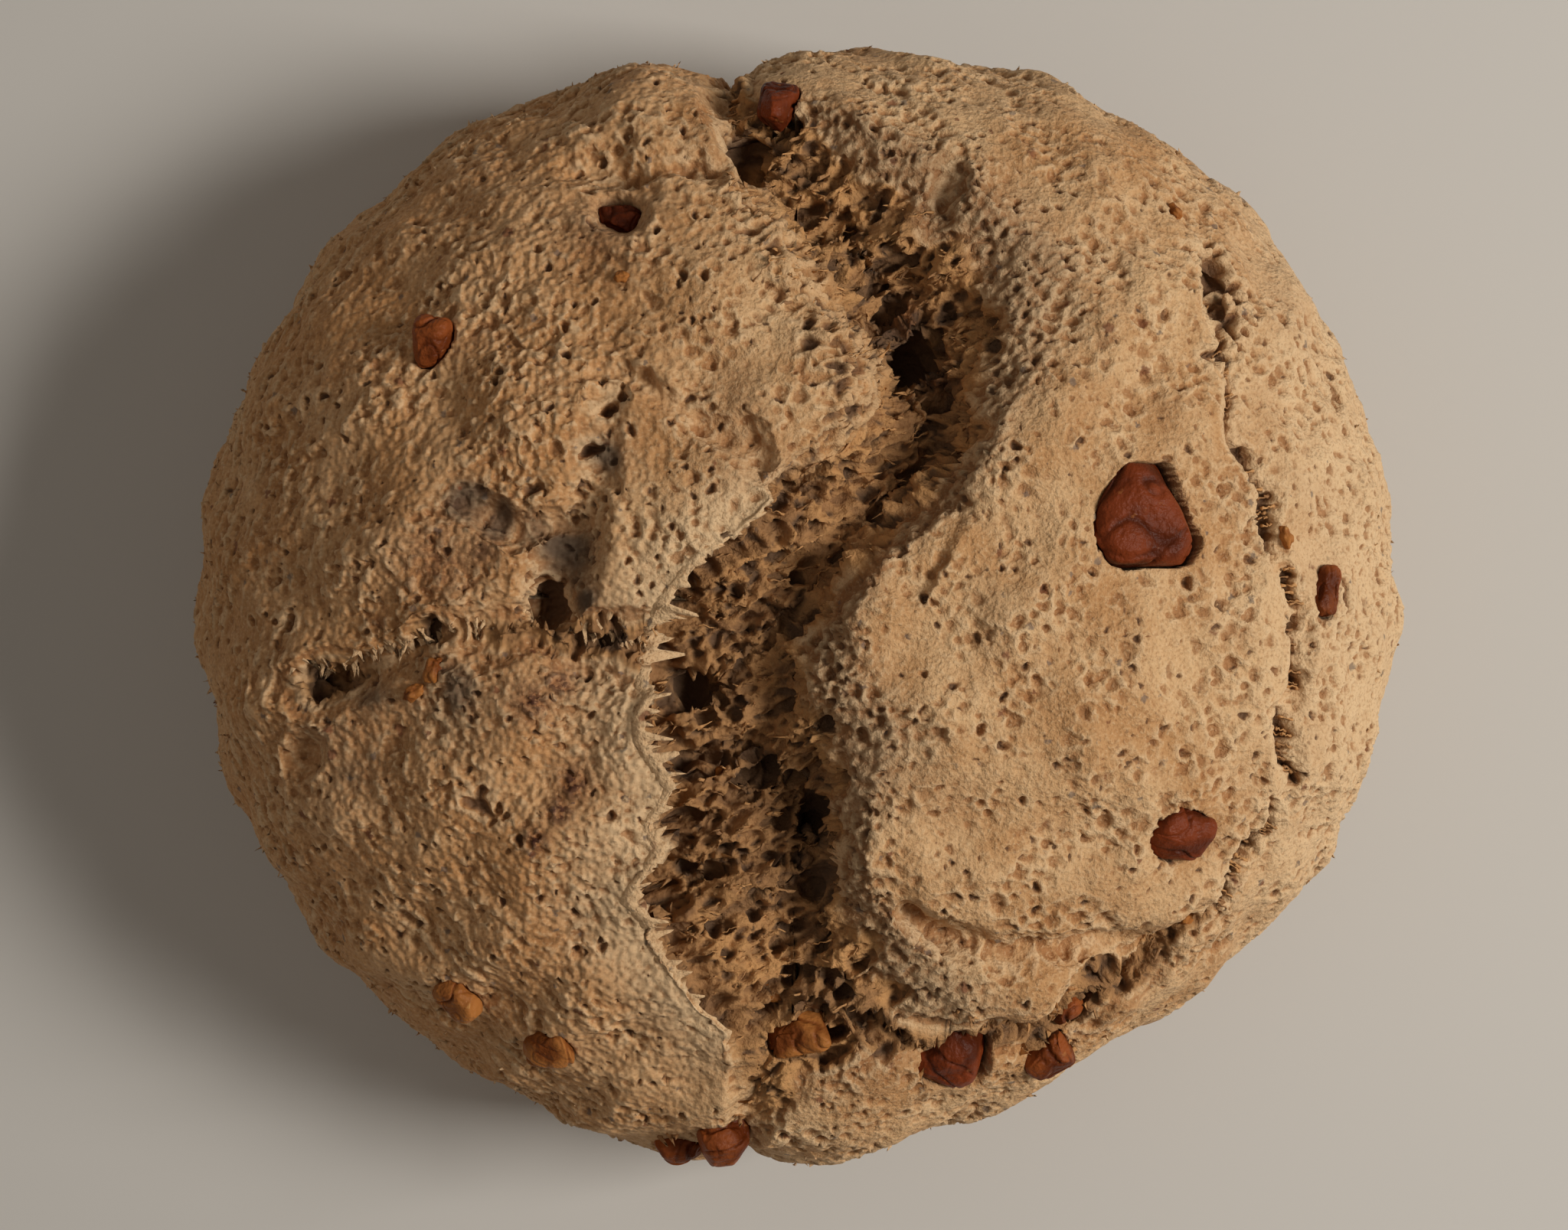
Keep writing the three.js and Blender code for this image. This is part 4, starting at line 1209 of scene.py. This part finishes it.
# %% Chips of walnut
# A chip is x, y, length, width and turn.
CHIPS = [
    (-55.6, -10.5, 4.2, 2.6, 70), (-58.9, -14.1, 3.4, 2.2, 30), (-26.8, 50.0, 2.4, 1.8, 10),
    (62.6, -50.2, 3.4, 2.2, 70), (-4.1, -61.9, 5.0, 2.4, -20), (60.4, 62.2, 2.8, 1.8, -60),
    (76.9, 10.2, 3.6, 2.0, -70), (-12.0, -26.8, 2.2, 1.4, 80),
]
CHIP_RISE = 0.2

chip_objects = []
for number, (cx, cy, long, wide, turn) in enumerate(CHIPS):
    bpy.ops.mesh.primitive_ico_sphere_add(subdivisions=4, radius=1)
    chip = bpy.context.object
    ball = points_of(chip)
    lumps = 1 + 0.45 * noise_at(ball, 0.9, 3.0 * number) + 0.15 * noise_at(ball, 0.35, 2.0 + number)
    ball = turned(ball * lumps[:, None] * np.array([long, wide, wide]) / 2, -turn)
    move_points(chip, (ball + np.array(surface_below(cx, cy)) + UP * CHIP_RISE) * MM)
    store(chip, "furrow", lumps - 1)
    chip_objects.append(chip)
bpy.ops.object.select_all(action="DESELECT")
for chip in chip_objects:
    chip.select_set(True)
    bpy.context.view_layer.objects.active = chip
bpy.ops.object.join()
chips = bpy.context.object
chips.name = "walnut_chips"
bpy.ops.object.shade_smooth()
belongs(chips, "walnut_pale")
print("chips", len(chip_objects))

# %% [markdown]
# ## Colours
# A small class stands for a value on a wire, so shader sums read like plain sums.
# Everything is worked out from the place on the object and the numbers kept on its points,
# because a pattern that depends on the view would slide when the loaf is turned.


# %% Wires
class Wire:
    """A value on a wire of one node tree."""

    def __init__(self, paint, socket):
        self.paint, self.socket = paint, socket

    def sum(self, operation, *values):
        return self.paint.node("ShaderNodeMath", {"operation": operation}, dict(enumerate(values)))

    def __add__(self, other):
        return self.sum("ADD", self, other)

    __radd__ = __add__

    def __sub__(self, other):
        return self.sum("SUBTRACT", self, other)

    def __rsub__(self, other):
        return self.sum("SUBTRACT", other, self)

    def __mul__(self, other):
        return self.sum("MULTIPLY", self, other)

    __rmul__ = __mul__

    def __truediv__(self, other):
        return self.sum("DIVIDE", self, other)

    def step(self, low, high):
        """0 below low, 1 above high, and an even slope between."""
        settings = {"interpolation_type": "SMOOTHSTEP", "clamp": True}
        sockets = {"Value": self, "From Min": low, "From Max": high}
        return self.paint.node("ShaderNodeMapRange", settings, sockets)

    def mix(self, first, second):
        """First colour where this is 0, second where it is 1."""
        settings = {"data_type": "RGBA", "clamp_factor": True}
        return self.paint.node("ShaderNodeMix", settings, {0: self, 6: first, 7: second}, output=2)


# %% Materials
SPOT_WOBBLE = {"pace": 1.2, "by": 1.6, "detail": 2.0}
SPOT_EDGE = (0.55, 1.1)
NEVER_ZERO = 0.0001


class Paint:
    """One material: any node is made by one method."""

    def __init__(self, name):
        self.material = bpy.data.materials.new(name)
        self.material.use_nodes = True
        self.tree = self.material.node_tree
        self.shader = self.tree.nodes["Principled BSDF"]
        place = Wire(self, self.tree.nodes.new("ShaderNodeTexCoord").outputs["Object"])
        self.place = self.node("ShaderNodeVectorMath", {"operation": "SCALE"}, {0: place, "Scale": 1 / MM})

    def node(self, kind, settings, sockets, output=0):
        made = self.tree.nodes.new(kind)
        for key, value in settings.items():
            setattr(made, key, value)
        for key, value in sockets.items():
            if isinstance(value, Wire):
                self.tree.links.new(value.socket, made.inputs[key])
            elif isinstance(value, tuple) and len(value) == 3 and made.inputs[key].type == "RGBA":
                made.inputs[key].default_value = (*value, 1)
            else:
                made.inputs[key].default_value = value
        return Wire(self, made.outputs[output])

    def attribute(self, name):
        return self.node("ShaderNodeAttribute", {"attribute_name": name}, {}, output="Fac")

    def noise(self, length, detail):
        sockets = {"Vector": self.place, "Scale": 1 / length, "Detail": detail}
        return self.node("ShaderNodeTexNoise", {}, sockets)

    def spots(self, length, radius, share):
        """Ragged spots, one in some cells of a scattered grid: 1 at the middle of a spot, 0 outside it."""
        pace = SPOT_WOBBLE["pace"] / radius
        shaken = {"Vector": self.place, "Scale": pace, "Detail": SPOT_WOBBLE["detail"]}
        wobble = self.node("ShaderNodeTexNoise", {}, shaken, output="Color")
        pushed = {0: wobble, 1: (SPOT_WOBBLE["by"] * radius,) * 3, 2: self.place}
        place = self.node("ShaderNodeVectorMath", {"operation": "MULTIPLY_ADD"}, pushed)
        settings = {"feature": "F1", "distance": "EUCLIDEAN"}
        sockets = {"Vector": place, "Scale": 1 / length}
        gap = self.node("ShaderNodeTexVoronoi", settings, sockets, output="Distance")
        lot = Wire(self, gap.socket.node.outputs["Color"])
        red = self.node("ShaderNodeSeparateColor", {}, {"Color": lot}, output="Red")
        size = red.step(1 - share, 1) * (radius / length)
        return 1 - (gap / (size + NEVER_ZERO)).step(*SPOT_EDGE)

    def set(self, name, value):
        if isinstance(value, Wire):
            self.tree.links.new(value.socket, self.shader.inputs[name])
        else:
            self.shader.inputs[name].default_value = (*value, 1) if isinstance(value, tuple) else value

    def finish(self, colour, rough, height=None, bump=0.3):
        self.set("Base Color", colour)
        self.set("Roughness", rough)
        if height is not None:
            sockets = {"Height": height, "Strength": bump, "Distance": MM}
            self.set("Normal", self.node("ShaderNodeBump", {}, sockets))
        return self.material


# %% [markdown]
# ## Crust and crumb
# Baked crust is many thin layers of colour: tan and flour in broad patches and browner ones, painted shade in
# the hollows, and paler grain on the high points that is partly flour and partly painted highlight. Painted
# light lies on the rim that faces the lamp and along the sharp lip. Painted shade lies in the valleys on the
# left, and together with their own grey on the nubs beside the tear, and a warm tint on the rough left side
# is painted shade too. Then come grey specks, spots of bran and stains round the walnuts.
# So the material is a list of layers, each with a mask, a strength and a tone, mixed one over the other.
# The crumb has its own colour under the torn mask, with painted shade in its hollows, under the lip and deep
# in the tear, and the bottoms of pores are darkened as painted shade in both.

# %% Crust
TONES = {
    "tan": (0.53, 0.283, 0.115), "flour": (0.68, 0.435, 0.222), "toast_and_shade": (0.34, 0.148, 0.048),
    "pale": (0.78, 0.56, 0.33), "warm": (0.60, 0.275, 0.09), "grey_shade": (0.30, 0.19, 0.11),
    "shadow_brown": (0.09, 0.057, 0.034), "grey": (0.15, 0.115, 0.095), "bran": (0.19, 0.055, 0.016),
    "rust": (0.25, 0.072, 0.017), "dark_rust": (0.07, 0.016, 0.006), "pore": (0.11, 0.056, 0.028),
    "crumb": (0.56, 0.295, 0.112), "crumb_dark": (0.25, 0.122, 0.048), "cell": (0.085, 0.046, 0.025),
    "floor": (0.62, 0.61, 0.59),
}
# A kind of spot is the size of its cells, the radius of a spot and the share of cells that have one.
SPOTS = {
    "dots": (1.7, 0.42, 0.55),
    "specks": (3.6, 0.8, 0.5),
    "bran": (5.5, 1.1, 0.45),
    "blotches": (15, 3.0, 0.45),
}


def layered(colour, layers):
    """Mixes one tone after another into a colour, each by its mask and strength."""
    for mask, strength, tone in layers:
        colour = (mask * strength).mix(colour, TONES[tone])
    return colour


def paint_loaf():
    paint = Paint("crust")
    torn, pit, hollow, stained = (paint.attribute(name) for name in ("torn", "pit", "hollow", "stain"))
    painted_light, shade_and_grey, shade, rough = (paint.attribute(name) for name in ("painted_light", "shade_and_grey", "shade", "rough"))
    dots, specks, bran, blotches = (paint.spots(*facts) for facts in SPOTS.values())
    grain = paint.noise(0.55, 3)
    crust = paint.noise(13, 3).step(0.35, 0.65).mix(TONES["tan"], TONES["flour"])
    crust = layered(crust, [
        (paint.noise(24, 2).step(0.52, 0.72), 0.45, "toast_and_shade"),
        # painted shade: a warm tint on the rough left side, the side away from the lamp
        (rough, 0.4, "warm"),
        # painted light on the rim toward the lamp and along the lip
        (painted_light, 0.75, "pale"),
        # painted shade in the valleys and, with their own grey, on the nubs beside the tear
        (shade_and_grey, 0.75, "grey_shade"),
        # painted highlight and flour on the high points, then painted shade in the hollows
        ((0 - hollow).step(0.03, 0.3), 0.55, "pale"),
        (hollow.step(0.02, 0.3), 0.75, "toast_and_shade"),
        # painted shade: dark dots stand for tiny shaded pores
        (dots, 0.4, "pore"),
        (grain.step(0.5, 0.72), 0.5, "toast_and_shade"),
        ((1 - grain).step(0.52, 0.72), 0.4, "pale"),
        (blotches * paint.noise(2.5, 3).step(0.4, 0.7), 0.5, "bran"),
        (shade_and_grey.step(0.3, 1.0), 0.9, "shadow_brown"),
        (specks, 0.7, "grey"),
        (bran, 0.8, "bran"),
    ])
    crumb = paint.noise(5, 3).step(0.45, 0.8).mix(TONES["crumb"], TONES["crumb_dark"])
    # painted shade in the hollows of the crumb, and the painted shade of the shade mask
    crumb = layered(crumb, [(hollow.step(0.1, 0.9), 0.6, "crumb_dark"), (shade, 1.0, "crumb_dark")])
    colour = torn.step(0.2, 0.8).mix(crust, crumb)
    mottled = paint.noise(1.1, 3).step(0.40, 0.56)
    colour = (stained * (mottled * 0.4 + 0.6)).mix(colour, mottled.mix(TONES["rust"], TONES["dark_rust"]))
    # painted shade at the bottoms of pores, cracks, crumb cells and sockets
    colour = (pit.step(0.05, 0.8) * 0.85).mix(colour, torn.mix(TONES["pore"], TONES["cell"]))
    height = paint.noise(1.1, 3) * (0.7 + rough * 1.1) - grain * 0.8
    return paint.finish(colour, 0.85, height, 1.0)


# %% Flaps, strands and floor
# painted light on the teeth of the lip and rim
FRINGE_LIGHT = 0.8


def paint_crumb():
    paint = Paint("crumb")
    tint = paint.attribute("tint")
    pale = (tint * 0.6 + paint.noise(3, 2) * 0.5).step(0.1, 0.8)
    return paint.finish(pale.mix(TONES["crumb_dark"], TONES["crumb"]), 0.7, paint.noise(0.4, 2), 0.3)


def dress(obj, material):
    obj.data.materials.clear()
    obj.data.materials.append(material)


crust_paint, crumb_paint = paint_loaf(), paint_crumb()
# the fringe teeth get painted light, pale as if lit
store(fringe_piece, "painted_light", np.full(len(fringe_piece.data.vertices), FRINGE_LIGHT))
for piece in [*(tile for tile, _ in tiles.values()), fringe_piece]:
    dress(piece, crust_paint)
for piece in (flap_piece, strand_piece):
    dress(piece, crumb_paint)
dress(floor, Paint("floor").finish(TONES["floor"], 0.9))
print("nodes in the crust material", len(crust_paint.node_tree.nodes))

# %% [markdown]
# ## Walnut skin
# The papery skin of a kernel is dark in the furrows and browner on the lobes,
# with pale flakes where it rubbed off. Baked pieces differ, so there are three skins: dark, amber and pale.

# %% Walnut skin
AMBER_PLACES = ("left_back", "right_rim", "notch", "foot", "front_chip", "front_right")
AMBER_NUTS = ["walnut_" + place for place in AMBER_PLACES]
SKINS = {
    "amber": {"low": (0.10, 0.020, 0.004), "high": (0.28, 0.072, 0.017), "flake": (0.42, 0.17, 0.05)},
    "dark": {"low": (0.075, 0.014, 0.004), "high": (0.19, 0.036, 0.009), "flake": (0.34, 0.12, 0.036)},
    "pale": {"low": (0.17, 0.046, 0.010), "high": (0.42, 0.165, 0.042), "flake": (0.56, 0.30, 0.10)},
}
SKIN_SHINE = 0.12


def paint_walnut(name, low, high, flake):
    paint = Paint(name)
    furrow = paint.attribute("furrow")
    colour = (furrow * 0.5 + paint.noise(4.0, 3) * 0.9).step(0.1, 0.7).mix(low, high)
    colour = (paint.noise(1.8, 4).step(0.66, 0.72) * 0.5).mix(colour, flake)
    rough = 0.30 + paint.noise(2, 2) * 0.25
    paint.set("Specular IOR Level", SKIN_SHINE)
    return paint.finish(colour, rough, paint.noise(0.9, 4), 0.45)


def skin_kind(name):
    if name in AMBER_NUTS:
        return "amber"
    return "pale" if name in PALE_NUTS else "dark"


walnut_paints = {kind: paint_walnut("walnut_" + kind, **tones) for kind, tones in SKINS.items()}
for name, nut in nuts.items():
    dress(nut, walnut_paints[skin_kind(name)])
dress(chips, walnut_paints["pale"])
print("materials", [m.name for m in bpy.data.materials if m.users])
